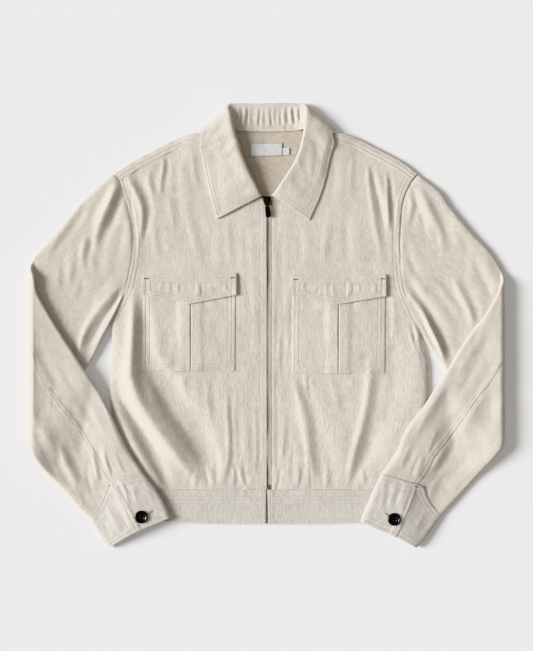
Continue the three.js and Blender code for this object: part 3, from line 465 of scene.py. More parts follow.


# the reverse of the same canvas; its darker, warmer colour is painted shade and warm bounce light inside the neck
canvas_inside = canvas("canvas_inside", (0.66, 0.585, 0.485))
back_shares = np.concatenate([np.linspace(0, 0.27, 24), np.linspace(0.31, 1, 56)])
back_points = np.concatenate(
    [back_half("right", back_shares)[::-1], back_half("left", back_shares[1:])], axis=0)
to_seam = np.linalg.norm(np.diff(back_points, axis=1), axis=2)[:, ::-1]
to_seam = np.concatenate([np.zeros((len(to_seam), 1)), np.cumsum(to_seam, axis=1)], axis=1)[:, ::-1]
neck_columns = np.abs(np.concatenate([-back_shares[::-1], back_shares[1:]])) < NECK_SHARE
to_seam = np.where(neck_columns[:, None], 50, to_seam)
canvas_out = canvas("canvas", (0.76, 0.70, 0.62))
back = cloth("back", back_points, CLOTH, canvas_out, ["back"], to_seam)
back.data.materials.append(canvas_inside)
back.modifiers["thickness"].material_offset = 1

# FRONTS. Two panels of the same canvas, cut to the neck, armhole and side. The left one is turned
# back at the zip and leaves a little of its tape in sight. Armholes are sewn flat with two rows.

FRONT_FOLDS = {
    "right": [
        # side: the long slope from the armpit to the waistband, inside a high ridge
        [(216, 90, 10, -1.2), (219, 50, 13, -3.8), (219, 0, 15, -7.0), (219, -45, 18, -8.4), (216, -82, 26, -10.0),
         (204, -110, 31, -10.6), (188, -138, 32, -10.8), (168, -168, 30, -10.2), (148, -195, 28, -9.4),
         (128, -225, 24, -7.8), (112, -252, 19, -6.0), (102, -284, 14, -3.4)],
        [(246, 10, 14, 1.0), (249, -50, 16, 1.5), (245, -96, 18, 1.8), (228, -134, 18, 1.8), (203, -170, 16, 1.6),
         (178, -208, 14, 1.3), (154, -244, 11, 0.9), (138, -282, 8, 0.4)],
        [(262, -118, 12, -2.4), (247, -150, 16, -5.8), (221, -194, 17, -7.6), (198, -236, 16, -7.0), (181, -264, 13, -5.2),
         (166, -300, 9, -2.0)],
        [(298, -118, 24, 3.6), (284, -150, 26, 4.2), (265, -194, 26, 4.4), (241, -236, 24, 4.0), (222, -264, 20, 3.2),
         (204, -300, 14, 1.8)],
        [(196, -60, 14, -1.0), (186, -100, 22, -3.0), (166, -138, 26, -3.8), (145, -168, 26, -3.8), (125, -198, 24, -3.3),
         (107, -230, 20, -2.4), (95, -258, 14, -1.2)],
        # lower front
        [(64, -96, 6, -0.6), (65, -140, 5, -1.3), (62, -190, 5, -1.6), (63, -232, 6, -1.4), (72, -274, 6, -0.8)],
        [(19, -120, 3, -0.4), (17, -165, 3, -0.9), (16, -215, 3, -1.0), (20, -268, 3, -0.6)],
        [(97, -82, 7, -0.5), (96, -125, 8, -0.9), (90, -170, 7, -0.6)], [(134, -78, 8, -0.6), (136, -105, 9, -0.9), (124, -150, 8, -0.5)],
        [(84, -200, 8, 0.7), (80, -236, 8, 1.2), (84, -276, 6, 0.8)], [(44, -110, 9, 0.5), (42, -180, 9, 0.8), (40, -262, 7, 0.6)],
        [(38, -218, 4, -0.5), (42, -246, 5, -1.3), (34, -280, 4, -1.0)], [(58, -232, 4, -0.5), (54, -256, 4, -1.1), (58, -282, 4, -0.8)],
        [(104, -236, 5, 0.8), (98, -258, 6, 1.2), (92, -284, 5, 0.7)], [(120, -240, 5, 0.8), (126, -262, 6, 1.0), (128, -284, 5, 0.6)],
        [(186, -76, 7, -0.7), (176, -96, 8, -0.8), (168, -124, 7, -0.4)],
        # chest
        [(236, 272, 9, -1.6), (226, 246, 11, -3.0), (214, 222, 10, -3.4), (207, 198, 9, -3.2), (208, 174, 7, -2.6),
         (211, 150, 5, -1.4), (212, 128, 5, -0.5)],
        [(232, 238, 5, 0.8), (226, 200, 5, 1.2), (222, 160, 5, 1.0), (221, 110, 5, 0.6)],
        [(173, 290, 5, -1.0), (173, 266, 6, -1.8), (177, 240, 6, -1.3), (178, 216, 6, -0.5)],
        [(194, 268, 6, -0.7), (196, 244, 7, -1.1), (188, 216, 7, -0.6)], [(183, 176, 7, -0.5), (186, 148, 8, -0.9), (180, 112, 7, -0.5)],
        [(163, 228, 7, -0.5), (158, 196, 8, -0.8), (152, 160, 8, -0.4)], [(150, 286, 8, 0.5), (146, 236, 10, 0.7), (138, 176, 9, 0.4)],
        [(122, 296, 6, -0.4), (120, 262, 7, -0.7), (114, 230, 6, -0.3)], [(128, 196, 10, -0.5), (118, 150, 12, -0.9), (104, 96, 10, -0.5)],
        [(84, 172, 8, 0.4), (90, 136, 9, 0.6), (86, 98, 8, 0.4)], [(62, 186, 8, -0.5), (60, 140, 9, -0.7), (56, 94, 8, -0.4)],
        [(34, 200, 7, 0.4), (30, 100, 8, 0.6), (24, 0, 7, 0.5), (26, -80, 7, 0.4)],
    ],
    "left": [
        # side and lower front: two slopes that fan down from the pocket, and a full swell beside them
        [(183, -40, 12, -1.4), (182, -88, 13, -2.8), (178, -122, 13, -3.0), (172, -154, 13, -3.2), (164, -186, 13, -3.2),
         (156, -216, 13, -3.0), (147, -246, 10, -2.6), (142, -270, 7, -2.0), (144, -290, 6, -1.0)],
        [(48, -78, 8, -1.2), (56, -106, 10, -2.0), (65, -134, 13, -2.4), (72, -164, 14, -2.6), (77, -196, 14, -2.6),
         (80, -226, 13, -2.4), (82, -252, 11, -1.9), (80, -278, 8, -1.0)],
        [(68, -78, 4, -0.8), (69, -104, 4, -1.2), (74, -128, 4, -0.5)], [(70, -216, 3, -0.5), (71, -250, 3, -1.4), (73, -284, 3, -1.0)],
        [(232, 0, 22, 1.0), (230, -60, 28, 2.2), (226, -126, 30, 2.8), (208, -176, 24, 2.4), (186, -220, 20, 1.8), (170, -262, 14, 1.2)],
        [(104, -150, 14, 0.6), (112, -200, 16, 1.2), (118, -250, 13, 1.0), (120, -284, 9, 0.6)],
        [(114, -84, 9, -0.4), (122, -120, 10, -0.8), (132, -156, 9, -0.4)], [(24, -10, 5, -0.6), (23, -46, 5, -1.1), (22, -90, 5, -0.6)],
        [(34, -140, 5, -0.4), (31, -196, 6, -0.9), (26, -238, 5, -0.7)], [(20, -232, 3, -0.4), (19, -258, 3, -1.2), (14, -282, 3, -0.8)],
        [(46, -190, 6, 0.4), (48, -232, 7, 0.8), (44, -276, 6, 0.6)], [(162, -236, 4, -0.4), (166, -256, 5, -1.1), (170, -280, 4, -0.6)],
        [(54, -236, 4, -0.3), (56, -258, 4, -0.9), (50, -282, 4, -0.5)], [(96, -240, 4, 0.4), (98, -262, 5, 0.9), (94, -286, 4, 0.6)],
        # pinches under the armpit
        [(240, 6, 2.6, -0.8), (245, -14, 2.8, -2.0), (253, -40, 3, -1.4), (256, -60, 3, -0.5)],
        [(257, 0, 2.4, -0.8), (258, -20, 2.4, -2.0), (260, -50, 3, -1.2), (261, -80, 3, -0.5)],
        [(246, 8, 3, 0.8), (250, -8, 3, 1.8), (256, -26, 3, 0.8)],
        # chest
        [(171, 290, 5, -0.8), (175, 262, 6, -1.8), (178, 232, 7, -1.6), (184, 200, 8, -1.6), (190, 164, 9, -1.5),
         (196, 132, 8, -1.1), (200, 104, 7, -0.4)],
        [(180, 262, 6, 0.6), (190, 232, 7, 1.6), (198, 196, 7, 1.8), (204, 160, 6, 0.9)],
        [(202, 268, 4, -0.8), (206, 244, 5, -1.9), (208, 212, 6, -2.2), (209, 180, 5, -1.6), (208, 152, 5, -0.5)],
        [(222, 232, 4, 0.6), (219, 190, 4, 1.0), (219, 140, 4, 0.9), (222, 84, 4, 0.5)],
        [(150, 290, 6, -0.4), (146, 250, 8, -0.7), (150, 206, 8, -0.4)], [(122, 284, 7, 0.4), (118, 240, 9, 0.7), (112, 196, 8, 0.4)],
        [(108, 180, 9, -0.4), (104, 140, 10, -0.8), (102, 98, 9, -0.5)], [(144, 196, 10, 0.4), (142, 150, 12, 0.7), (146, 100, 10, 0.4)],
        [(60, 176, 8, 0.4), (62, 132, 9, 0.6), (58, 94, 8, 0.4)], [(22, 176, 5, -0.4), (20, 100, 5, -0.7), (22, 20, 5, -0.5)],
        [(206, 60, 5, 0.4), (212, 20, 6, 0.8), (210, -30, 6, 0.6)], [(40, 84, 5, -0.4), (38, 20, 6, -0.6), (40, -60, 5, -0.4)],
    ],
}
SEAM_Z = CLOTH + 0.4 + CLOTH / 2
NECKLINE = [(0.6, 190), (1.4, 209), (9, 216.5), (25, 226), (44, 239), (62, 260), (76, 286)]
PATCH_Y = 100
ARM_U = {"right": 230.6, "left": 226.8}


def side_u(side, y):
    rows = np.array(SIDE_SEAM[side], float)
    return np.interp(y, rows[:, 1], rows[:, 0])


ARM_EDGE = {
    "right": [(164, -325), (180, -290), (210, -249), (239, -204), (263, -152), (287, -108), (309, -75)],
    "left": [(159, -331), (178, -286), (194, -250), (219, -214), (236, -176), (265, -138), (285, -107)],
}


def under_arm_edge(side, y):
    """Where the folded forearm's inner edge crosses the front."""
    rows = np.array(ARM_EDGE[side], float)
    return np.interp(y, rows[:, 1], rows[:, 0])


def roll_off(side, u, y, width=12):
    armpit = ARMPIT[side]
    inward = np.maximum(0, side_u(side, np.minimum(y, armpit)) - u)
    k = 1 - np.minimum(1, np.hypot(inward, np.maximum(0, y - armpit)) / width)
    return np.sqrt(1 - k * k)


def front_height(side, u, y):
    fold = sunk(folds(FRONT_FOLDS[side], u, y, SIGN[side]), 3.1)
    clear = smooth((under_arm_edge(side, y) - u) / 34)
    hem = y - HEM_Y
    fold = np.where(fold > 0, mix(np.minimum(fold, 2.0), fold, clear), fold) * mix(0.35, 1, smooth(hem / 14))
    flat = FRONT_Z + neck_lift(u, y) + fold
    seed = 21 if side == "right" else 31
    flat = flat + 0.75 * lattice(u / 34 + 7, y / 52 + 9, seed) + 0.24 * lattice(u / 12, y / 19 + 30, seed + 1)
    pull = ripples(u + 0.12 * hem, hem, 11, 17, seed + 2)
    strong = 0.55 + 0.5 * np.exp(-((u - 24) / 22) ** 2) + 0.45 * np.exp(-((u - 140) / 40) ** 2)
    flat = flat + 1.5 * pull * strong * smooth((hem + 4) / 7) * mix(0.5, 1, clear)
    return mix(SEAM_Z, flat, roll_off(side, u, y))


def front_grid(side):
    inner = 0.3 if side == "right" else 8.6
    arm = curve([row for row in ARMHOLE[side] if row[1] <= PATCH_Y] + [(ARM_U[side], PATCH_Y)])(np.linspace(0, 1, 200))
    top = lambda a: shoulder(side, mix(0.345, 1.0, np.asarray(a, float)),
                             SHOULDER_R + CLOTH / 2 + 13 + 1.1 + 0 * np.asarray(a, float))
    above = [row for row in ARMHOLE[side] if PATCH_Y + 8 < row[1] < 236]
    end = top(1.0)
    outer = curve([(ARM_U[side], PATCH_Y)] + above + [(end[0] - 0.3, end[1])])
    high = lambda b: outer(b) + np.array([0.3, 0])
    start = top(0.0)
    line = [(max(u, inner), y) for u, y in [(0.6, PATCH_Y), (0.6, 150)] + NECKLINE]
    neck = curve(line + [(start[0], start[1])])
    last = ARM_U[side] + 0.3
    bottom = lambda a: np.stack([mix(inner, last, np.asarray(a)), PATCH_Y + 0 * np.asarray(a)], -1)
    a = np.linspace(0, 1, 84)
    rows = []
    for y in np.linspace(HEM_Y - 0.1, PATCH_Y, 128, endpoint=False):
        stop = side_u(side, y) if y <= ARMPIT[side] else np.interp(y, arm[:, 1], arm[:, 0])
        stop = stop - (0.6 if y <= ARMPIT[side] else 0.9 * (1 - smooth((y - ARMPIT[side]) / 20)) - 0.3)
        rows.append(np.stack([mix(inner, stop, a), y + 0 * a], -1))
    upper = patch(bottom, top, neck, high)(a[None, :], np.linspace(0, 1, 68)[:, None])
    flat = np.concatenate([np.array(rows), upper], axis=0)
    u, y = flat[..., 0], flat[..., 1]
    to_arm = np.linalg.norm(np.diff(flat, axis=1), axis=2)[:, ::-1]
    to_arm = np.concatenate([np.zeros((len(to_arm), 1)), np.cumsum(to_arm, axis=1)], axis=1)[:, ::-1]
    to_top = np.linalg.norm(np.diff(flat, axis=0), axis=2)[::-1]
    to_top = np.concatenate([np.zeros((1, to_top.shape[1])), np.cumsum(to_top, axis=0)], axis=0)[::-1]
    seed = 41 if side == "right" else 51
    z = front_height(side, u, y)
    z = z + 0.30 * ripples(y, to_arm, 9, 12, seed) * (y > ARMPIT[side] + 12) * smooth(to_arm / 3)
    z = z + 0.42 * ripples(u, to_top, 12, 16, seed + 4) * smooth(to_top / 3)
    if side == "right":
        z = z + 0.16 * ripples(y, u, 10, 12, seed + 6) * smooth(u / 3)
    edge = np.where(y > ARMPIT[side] - 4, to_arm, 50)
    if side == "right":
        edge = np.minimum(edge, np.where(u < 30, np.maximum(u + 1.1, 7), 50))
    else:
        fold = u - inner
        z = z - 0.5 * np.exp(-((fold - 9.5) / 2.2) ** 2) + 0.35 * np.exp(-((fold - 3.5) / 3.0) ** 2)
    points = np.stack([u * SIGN[side], y, z], -1)
    return points, edge


front_points = {}
for side in ("right", "left"):
    front_points[side], sewn = front_grid(side)
    front = cloth("front_" + side, front_points[side], CLOTH, canvas_out, ["front_" + side], sewn)
    rows = []
    for distance in (5.5, 12):
        p, n = inset(front_points[side], "last", distance)
        keep = p[:, 1] > ARMPIT[side] + 2
        rows.append((p[keep], n[keep]))
    if side == "right":
        p, n = inset(front_points[side], "first", 10.9)
        keep = p[:, 1] < 205
        rows.append((p[keep], n[keep]))
    front_rows = stitches("front_stitches_" + side, rows, CLOTH / 2 + 0.02)

# Rows sewn through the turned-over strip, above the shoulder seams.
strip_rows = []
for side in ("right", "left"):
    half = back_points[:80] if side == "right" else back_points[79:][::-1]
    for distance in (3.2, 9.0):
        p, n = inset(half, "last", distance)
        keep = np.arange(len(p)) < 55
        strip_rows.append((p[keep], n[keep] * np.where(n[keep][:, 2:] < 0, -1, 1)))
stitches("shoulder_stitches", strip_rows, CLOTH / 2 + 0.02)

# COLLAR. Two layers of canvas and a light interlining, sewn at the outer edge, turned, pressed and
# stitched twice round. It stands up from the neck seam, rolls over and lies on the fronts; at the
# back of the neck it is turned down under the jacket, so the stand shows there with its ease.

# Each row: neck seam, stand, roll, fall and outer edge, as u, y, z.
COLLAR = {
    "right": [
        [(8.2, 220.4, 8.0), (8.8, 220.2, 8.2), (10, 219.6, 8.5), (16, 216.4, 8.8), (84, 181, 8.4)],
        [(23, 228, 8.2), (18, 230, 9.0), (15.5, 231.5, 10.8), (19, 230, 12.4), (89, 195, 8.6)],
        [(44, 241, 8.4), (32, 254, 10.2), (28.5, 257.5, 13.0), (33, 255, 15.6), (95, 218, 9.0)],
        [(62, 262, 8.8), (45, 280, 11.8), (40, 284, 14.8), (45, 281, 17.6), (102, 248, 9.6)],
        [(75, 287, 10.2), (54, 306, 13.0), (49, 310, 16.0), (54, 307, 18.8), (109, 284, 11.0)],
        [(83, 310, 11.8), (62, 332, 13.8), (57, 337, 16.6), (61, 336, 19.2), (113, 308, 12.2)],
        [(80, 326, 12.2), (64, 350, 13.6), (61, 359, 15.8), (66, 360, 17.6), (110, 323, 12.4)],
        [(74, 332, 12.0), (63, 357, 12.8), (64, 367, 13.8), (70, 366, 14.2), (113, 327, 10.6)],
        [(68, 334, 10.6), (61, 362, 11.4), (65, 373, 10.2), (72, 370, 8.6), (116, 331, 6.6)],
        [(61, 333, 8.6), (58, 365, 9.6), (62, 376, 6.6), (68, 369, 2.7), (114, 328.5, 2.2)],
        [(53, 331, 6.3), (54, 367, 8.2), (56, 376.5, 5.2), (62, 366, 1.6), (109, 321.5, 1.2)],
        [(38, 330, 5.5), (39, 369, 7.2), (40, 376.5, 4.4), (44, 368, 1.4), (84, 309, 1.2)],
        [(20, 329.6, 5.35), (20, 370, 6.9), (20, 376.5, 4.2), (22, 369, 1.4), (42, 306, 1.2)],
    ],
    "left": [
        [(8.2, 221.4, 8.0), (8.8, 221.2, 8.2), (10, 220.6, 8.5), (15, 217.6, 8.8), (72, 179, 8.4)],
        [(26, 228, 8.2), (21.5, 232, 9.0), (20, 235, 10.6), (22, 234, 11.9), (79, 194, 8.6)],
        [(46, 240, 8.4), (35, 253, 10.2), (34, 256, 12.2), (36, 255.2, 13.8), (89, 217, 9.0)],
        [(66, 262, 8.8), (52, 277, 11.8), (49, 280, 13.8), (51.2, 279.2, 15.6), (99, 248, 9.6)],
        [(78, 287, 10.2), (61, 300, 13.0), (57.5, 304, 15.0), (59.8, 303.2, 16.8), (107, 284, 11.0)],
        [(84, 310, 11.8), (67, 326, 13.8), (63, 331, 15.8), (65.2, 331, 17.6), (114, 308, 12.2)],
        [(80, 326, 12.2), (66, 346, 13.6), (64, 355, 15.8), (69, 356, 17.6), (111, 323, 12.4)],
        [(74, 332, 12.0), (64, 356, 12.8), (65, 366, 13.8), (71, 365, 14.2), (114, 327, 10.6)],
        [(68, 334, 10.6), (61, 362, 11.4), (65, 373, 10.2), (72, 370, 8.6), (117, 331, 6.6)],
        [(61, 333, 8.6), (58, 365, 9.6), (62, 376, 6.6), (68, 369, 2.7), (115, 328.5, 2.2)],
        [(53, 331, 6.3), (54, 367, 8.2), (56, 376.5, 5.2), (62, 366, 1.6), (109, 321.5, 1.2)],
        [(38, 330, 5.5), (39, 369, 7.2), (40, 376.5, 4.4), (44, 368, 1.4), (84, 309, 1.2)],
        [(20, 329.6, 5.35), (20, 370, 6.9), (20, 376.5, 4.2), (22, 369, 1.4), (42, 306, 1.2)],
    ],
}
COLLAR_MIDDLE = [(0, 329.2, 5.35), (0, 370, 6.8), (0, 376.5, 4.2), (0, 369, 1.4), (0, 305, 1.2)]


def through(rows, count):
    """A soft curve through the rows at even steps from row to row."""
    p = np.array(rows, float)
    p = np.vstack([2 * p[:1] - p[1:2], p, 2 * p[-1:] - p[-2:-1]])
    s = np.linspace(0, len(p) - 3 - 1e-9, count)
    k = s.astype(int)
    t = (s - k)[:, None]
    p0, p1, p2, p3 = p[k], p[k + 1], p[k + 2], p[k + 3]
    return 0.5 * (2 * p1 + (p2 - p0) * t + (2 * p0 - 5 * p1 + 4 * p2 - p3) * t * t
                  + (3 * (p1 - p2) + p3 - p0) * t ** 3)


def rest_on(side, u, y):
    """Height of the middle of the collar where it lies on a front."""
    near = [float(front_height(side, np.array(float(u + d)), np.array(float(y)))) for d in (-4, 0, 4)]
    return max(near) + CLOTH / 2 + 0.25 + 1.0


collar_rows = [np.array(row, float) * (-1, 1, 1) for row in COLLAR["right"]]
collar_rows += [np.array(COLLAR_MIDDLE, float)]
collar_rows += [np.array(row, float) for row in COLLAR["left"][::-1]]
collar_lines = through([row.ravel() for row in collar_rows], 230).reshape(-1, 5, 3)
collar_grid = []
for seam, stand, roll, fall, outer in collar_lines:
    side = "left" if outer[0] > 0 else "right"
    if outer[1] < 300 and outer[2] > 7:
        outer = np.array([outer[0], outer[1], rest_on(side, abs(outer[0]), outer[1])])
    spots = [seam, mix(seam, stand, 0.5), stand, roll, fall]
    for t in (0.25, 0.5, 0.75):
        drop = (outer[2] - fall[2]) * (t ** 0.6 - t)
        spot = mix(fall, outer, t) + np.array([0, 0, drop + 1.3 * math.sin(math.pi * t)])
        if outer[1] < 300 and outer[2] > 7:
            spot[2] = max(spot[2], rest_on(side, abs(spot[0]), spot[1]) + 0.5)
        spots.append(spot)
    collar_grid.append(curve(spots + [outer])(np.linspace(0, 1, 48)))
collar_points = np.array(collar_grid)
across = np.linalg.norm(np.diff(collar_points, axis=1), axis=2)
from_seam = np.concatenate([np.zeros((len(across), 1)), np.cumsum(across, axis=1)], axis=1)
to_edge = from_seam[:, -1:] - from_seam
along = np.linalg.norm(np.diff(collar_points[:, 36], axis=0), axis=1)
along = np.concatenate([[0], np.cumsum(along)])[:, None] + 0 * to_edge
to_end = np.minimum(along, along[-1:] - along)
seam_pull = ripples(along, from_seam, 8, 26, 11) * smooth(from_seam / 4) * smooth((40 - from_seam) / 14)
in_back = smooth((np.abs(collar_points[..., 0]) * -1 + 78) / 12) * (collar_points[..., 1] > 300)
collar_wave = 0.9 * seam_pull * in_back
edge_pull = ripples(along, to_edge, 9, 12, 13) * 0.22 * smooth(to_edge / 2)
soft = 0.55 * lattice(collar_points[..., 0] / 30, collar_points[..., 1] / 38, 15)
soft = soft + 0.25 * lattice(collar_points[..., 0] / 13, collar_points[..., 1] / 17, 16)
soft *= smooth(to_edge / 16) * smooth(to_end / 12) * smooth((from_seam - 22) / 14)
COLLAR_FOLDS = {
    -1: [
        [(40, 326, 6, 0.5), (56, 310, 7, 0.9), (76, 298, 6, 0.6)], [(52, 300, 5, -0.6), (66, 290, 6, -0.7), (84, 284, 5, -0.3)],
        [(30, 250, 9, 0.5), (54, 246, 10, 0.6), (78, 236, 8, 0.4)], [(96, 300, 9, -0.5), (92, 262, 9, -0.7), (86, 216, 8, -0.4)],
        [(60, 345, 9, 0.6), (84, 320, 9, 0.7), (98, 296, 8, 0.3)],
    ],
    1: [
        [(30, 252, 8, -0.7), (48, 238, 9, -0.8), (70, 228, 8, -0.4)], [(60, 300, 12, 0.7), (74, 268, 13, 0.8), (80, 232, 10, 0.5)],
        [(66, 340, 10, 0.6), (86, 312, 11, 0.7), (96, 276, 9, 0.3)], [(92, 330, 14, 1.0), (94, 288, 16, 1.5), (89, 240, 15, 1.3)], [(40, 276, 9, 0.5), (62, 256, 10, 0.6), (84, 250, 8, 0.3)],
    ],
}
STAND_FOLDS = [
    [(-47, 372, 3, -0.6), (-45, 356, 4, -1.6), (-46, 342, 3, -1.0)], [(-36, 374, 3, -0.6), (-35, 360, 4, -1.7), (-37, 345, 4, -1.9), (-36, 335, 3, -0.8)],
    [(-27, 372, 3, -0.5), (-28, 352, 3, -1.2), (-26, 338, 3, -0.8)], [(-15, 374, 3, -0.6), (-14, 358, 3, -1.5), (-16, 340, 3, -1.3), (-15, 334, 2, -0.5)],
    [(-6, 368, 3, -0.4), (-7, 350, 3, -1.0), (-6, 338, 3, -0.9)], [(5, 374, 3, -0.5), (4, 358, 3, -1.3), (6, 342, 3, -1.5), (5, 334, 2, -0.6)],
    [(14, 372, 3, -0.4), (13, 352, 3, -1.1), (14, 338, 3, -1.0)], [(22, 366, 3, -0.4), (21, 348, 3, -1.3), (23, 336, 3, -0.8)],
    [(32, 374, 3, -0.5), (31, 356, 4, -1.5), (33, 340, 3, -1.2)], [(42, 374, 3, -0.8), (42, 360, 3, -2.2), (44, 346, 3, -2.0), (46, 337, 3, -0.8)],
    [(53, 372, 3, -0.8), (53, 358, 3, -2.0), (55, 344, 3, -1.4)],
]
left_part = collar_points[..., 0] > 0
bend = np.where(left_part, folds(COLLAR_FOLDS[1], collar_points[..., 0], collar_points[..., 1], 1),
                folds(COLLAR_FOLDS[-1], -collar_points[..., 0], collar_points[..., 1], -1))
bend *= smooth(to_edge / 14) * smooth((from_seam - 26) / 10)
in_stand = in_back * smooth(from_seam / 4) * smooth((44 - from_seam) / 10)
gathers = folds(STAND_FOLDS, collar_points[..., 0], collar_points[..., 1], 1) * in_stand
lift = collar_wave + edge_pull + soft + bend + gathers
collar_normals = normals(collar_points)
if collar_normals[20, 40, 2] < 0:
    collar_normals = -collar_normals
collar_points = collar_points + collar_normals * lift[..., None]
seam_edge = np.minimum(to_edge, to_end) * 1.2
collar = cloth("collar", collar_points, 2.0, canvas_out, ["collar"], seam_edge)
collar_rows_sewn = []
for distance in (5, 10):
    collar_rows_sewn.append(inset(collar_points[3:-3], "last", distance))
    for side in ("bottom", "top"):
        p, n = inset(collar_points, side, distance)
        run = from_seam[0 if side == "bottom" else -1]
        keep = (run > 22) & (run < run[-1] - distance)
        collar_rows_sewn.append((p[keep], n[keep]))
collar_rows_made = stitches("collar_stitches", collar_rows_sewn, 1.05)

# POCKETS. A patch on each front with an inverted pleat down the middle: two folds meet at the
# slit, over a layer that opens. Sewn on with two rows at the sides and the bottom.

POCKET = {
    "right": {"inner": 53, "outer": 209.5, "top": 86, "bottom": -77, "slit": 129, "tip": 36.5},
    "left": {"inner": 43.5, "outer": 201, "top": 84, "bottom": -81, "slit": 121.5, "tip": 36},
}
POCKET_CLOTH = 0.6
PLY = POCKET_CLOTH + 0.12


def pocket_profile(size):
    """Across one half of the pocket, from its edge to under the slit: distance, layers below."""
    rows = [(size, 0.0), (mix(21, size, 0.99), 0.0)]
    rows += [(d, 0.0) for d in np.linspace(size - 3, 27, int((size - 28) / 2.4))]
    rows += [(24.6, 0.16), (22.4, 0.5), (20.4, 0.95), (18.4, 1.4), (16.4, 1.74), (14.4, 1.93)]
    rows += [(d, 2.0) for d in np.linspace(12.4, 2.4, 6)]
    rows += [(1.5, 1.98), (0.95, 1.85), (0.75, 1.5), (0.95, 1.15), (1.5, 1.02)]
    rows += [(5, 1.0), (9, 1.0), (12.6, 0.98), (13.4, 0.75), (13.6, 0.5), (13.4, 0.25), (12.6, 0.0), (6, 0.0)]
    return rows


for side in ("right", "left"):
    shape = POCKET[side]
    outward = pocket_profile(shape["outer"] - shape["slit"])
    inward = [(-d, k) for d, k in pocket_profile(shape["slit"] - shape["inner"])][::-1]
    profile = np.array(outward + [(0, 0.0)] + inward)
    y = np.linspace(shape["bottom"], shape["top"] - 10, 62)[:, None]
    across, layer = profile[None, :, 0], profile[None, :, 1]
    opened = 1.0 + 0.9 * np.exp(-((y - (-8)) / 42) ** 2)
    gap = np.sign(across) * (np.abs(layer - 1.5) < 0.52) * (np.abs(across) < 2.6) * (opened - 1) * 0.7
    skew = 1.2 * (1 - (y - shape["bottom"]) / (shape["top"] - shape["bottom"])) * smooth((np.abs(across) - 30) / 30)
    u = shape["slit"] + across + gap + (skew if side == "right" else -0.8 * skew)
    seed = 61 if side == "right" else 71
    down = y - shape["bottom"] + 0 * u
    to_side = np.minimum(shape["outer"] - shape["slit"] - across, across + shape["slit"] - shape["inner"])
    to_side = np.where(np.abs(across) < 16, 50, to_side) + 0 * y
    z = front_height(side, u, y) + CLOTH / 2 + 0.3 + POCKET_CLOTH / 2 + layer * PLY
    flat_part = smooth((np.abs(across) - 20) / 6)
    z = z - 0.22 * smooth((3 - to_side) / 3) * (np.abs(across) > 16)
    z = z + 0.34 * ripples(u, down, 10, 14, seed) * smooth(down / 4)
    z = z + 0.20 * ripples(y + 0 * u, to_side, 11, 12, seed + 3) * smooth(to_side / 4) * flat_part
    z = z + 0.35 * (lattice(u / 17, y / 34 + 11, seed + 5) + 0.4) * flat_part * smooth(to_side / 16) * smooth(down / 14)
    top_fold = smooth((y - 20) / 40)
    z = z + 0.7 * np.sin(across / 5.5 + 0.6) * top_fold * smooth((34 - np.abs(np.abs(across) - 34)) / 16) * flat_part
    edge = np.minimum(to_side, np.where(np.abs(across) < 90, down, 50) + 0.0)
    points = np.stack([u * SIGN[side], y + 0 * u, z], -1)
    pocket = cloth("pocket_" + side, points, POCKET_CLOTH, canvas_out, ["pocket_" + side], edge)
    rows = []
    rows.append(inset(points[2:], "first", 4.6))
    rows.append(inset(points[2:], "first", 11.5))
    rows.append(inset(points[2:], "last", 4.6))
    rows.append(inset(points[2:], "last", 11.5))
    last_open = int(np.argmax(profile[:, 0] < 1.7))
    first_open = int(np.nonzero(profile[:, 0] > -1.7)[0][-1]) + 1
    for distance in (1.8, 12.4):
        for part in (points[:, 2:last_open], points[:, first_open:-2]):
            p, n = inset(part, "bottom", distance)
            rows.append((p, n))
    pocket_rows = stitches("pocket_stitches_" + side, rows, POCKET_CLOTH / 2 + 0.02)

# FLAPS. Two layers, pointed, topstitched all round, and caught at the upper corners with
# a short brown bar of stitches.


def plain(name, colour, roughness, metallic=0.0, coat=0.0):
    mat = bpy.data.materials.new(name)
    mat.use_nodes = True
    bsdf = mat.node_tree.nodes["Principled BSDF"]
    bsdf.inputs["Base Color"].default_value = (*colour, 1)
    bsdf.inputs["Roughness"].default_value = roughness
    bsdf.inputs["Metallic"].default_value = metallic
    bsdf.inputs["Coat Weight"].default_value = coat
    bsdf.inputs["Coat Roughness"].default_value = 0.12
    return mat


brown_thread = plain("brown_thread", (0.16, 0.085, 0.045), 0.75)


def bartack(name, where, direction, normal, length, width=2.0):
    """A bar of close stitches, each thread across the bar."""
    bm = bmesh.new()
    d = Vector(direction).normalized()
    z = Vector(normal).normalized()
    w = z.cross(d).normalized()
    count = int(length / 0.45)
    for k in range(count):
        t = (k + 0.5) / count - 0.5
        wide = width * (0.5 + 0.04 * math.sin(k * 2.4))
        shape = Matrix((w * wide * 1e-3, d * 0.3e-3, z * 0.42e-3)).transposed().to_4x4()
        shape.translation = Vector((np.array(where) + ORIGIN) * 0.001) + d * t * length * 1e-3 + z * 0.25e-3
        bmesh.ops.create_icosphere(bm, subdivisions=1, radius=1, matrix=shape)
    for f in bm.faces:
        f.smooth = True
    mesh = bpy.data.meshes.new(name)
    bm.to_mesh(mesh)
    bm.free()
    obj = bpy.data.objects.new(name, mesh)
    bpy.context.scene.collection.objects.link(obj)
    mesh.materials.append(brown_thread)
    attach(obj, "jacket")
    return obj


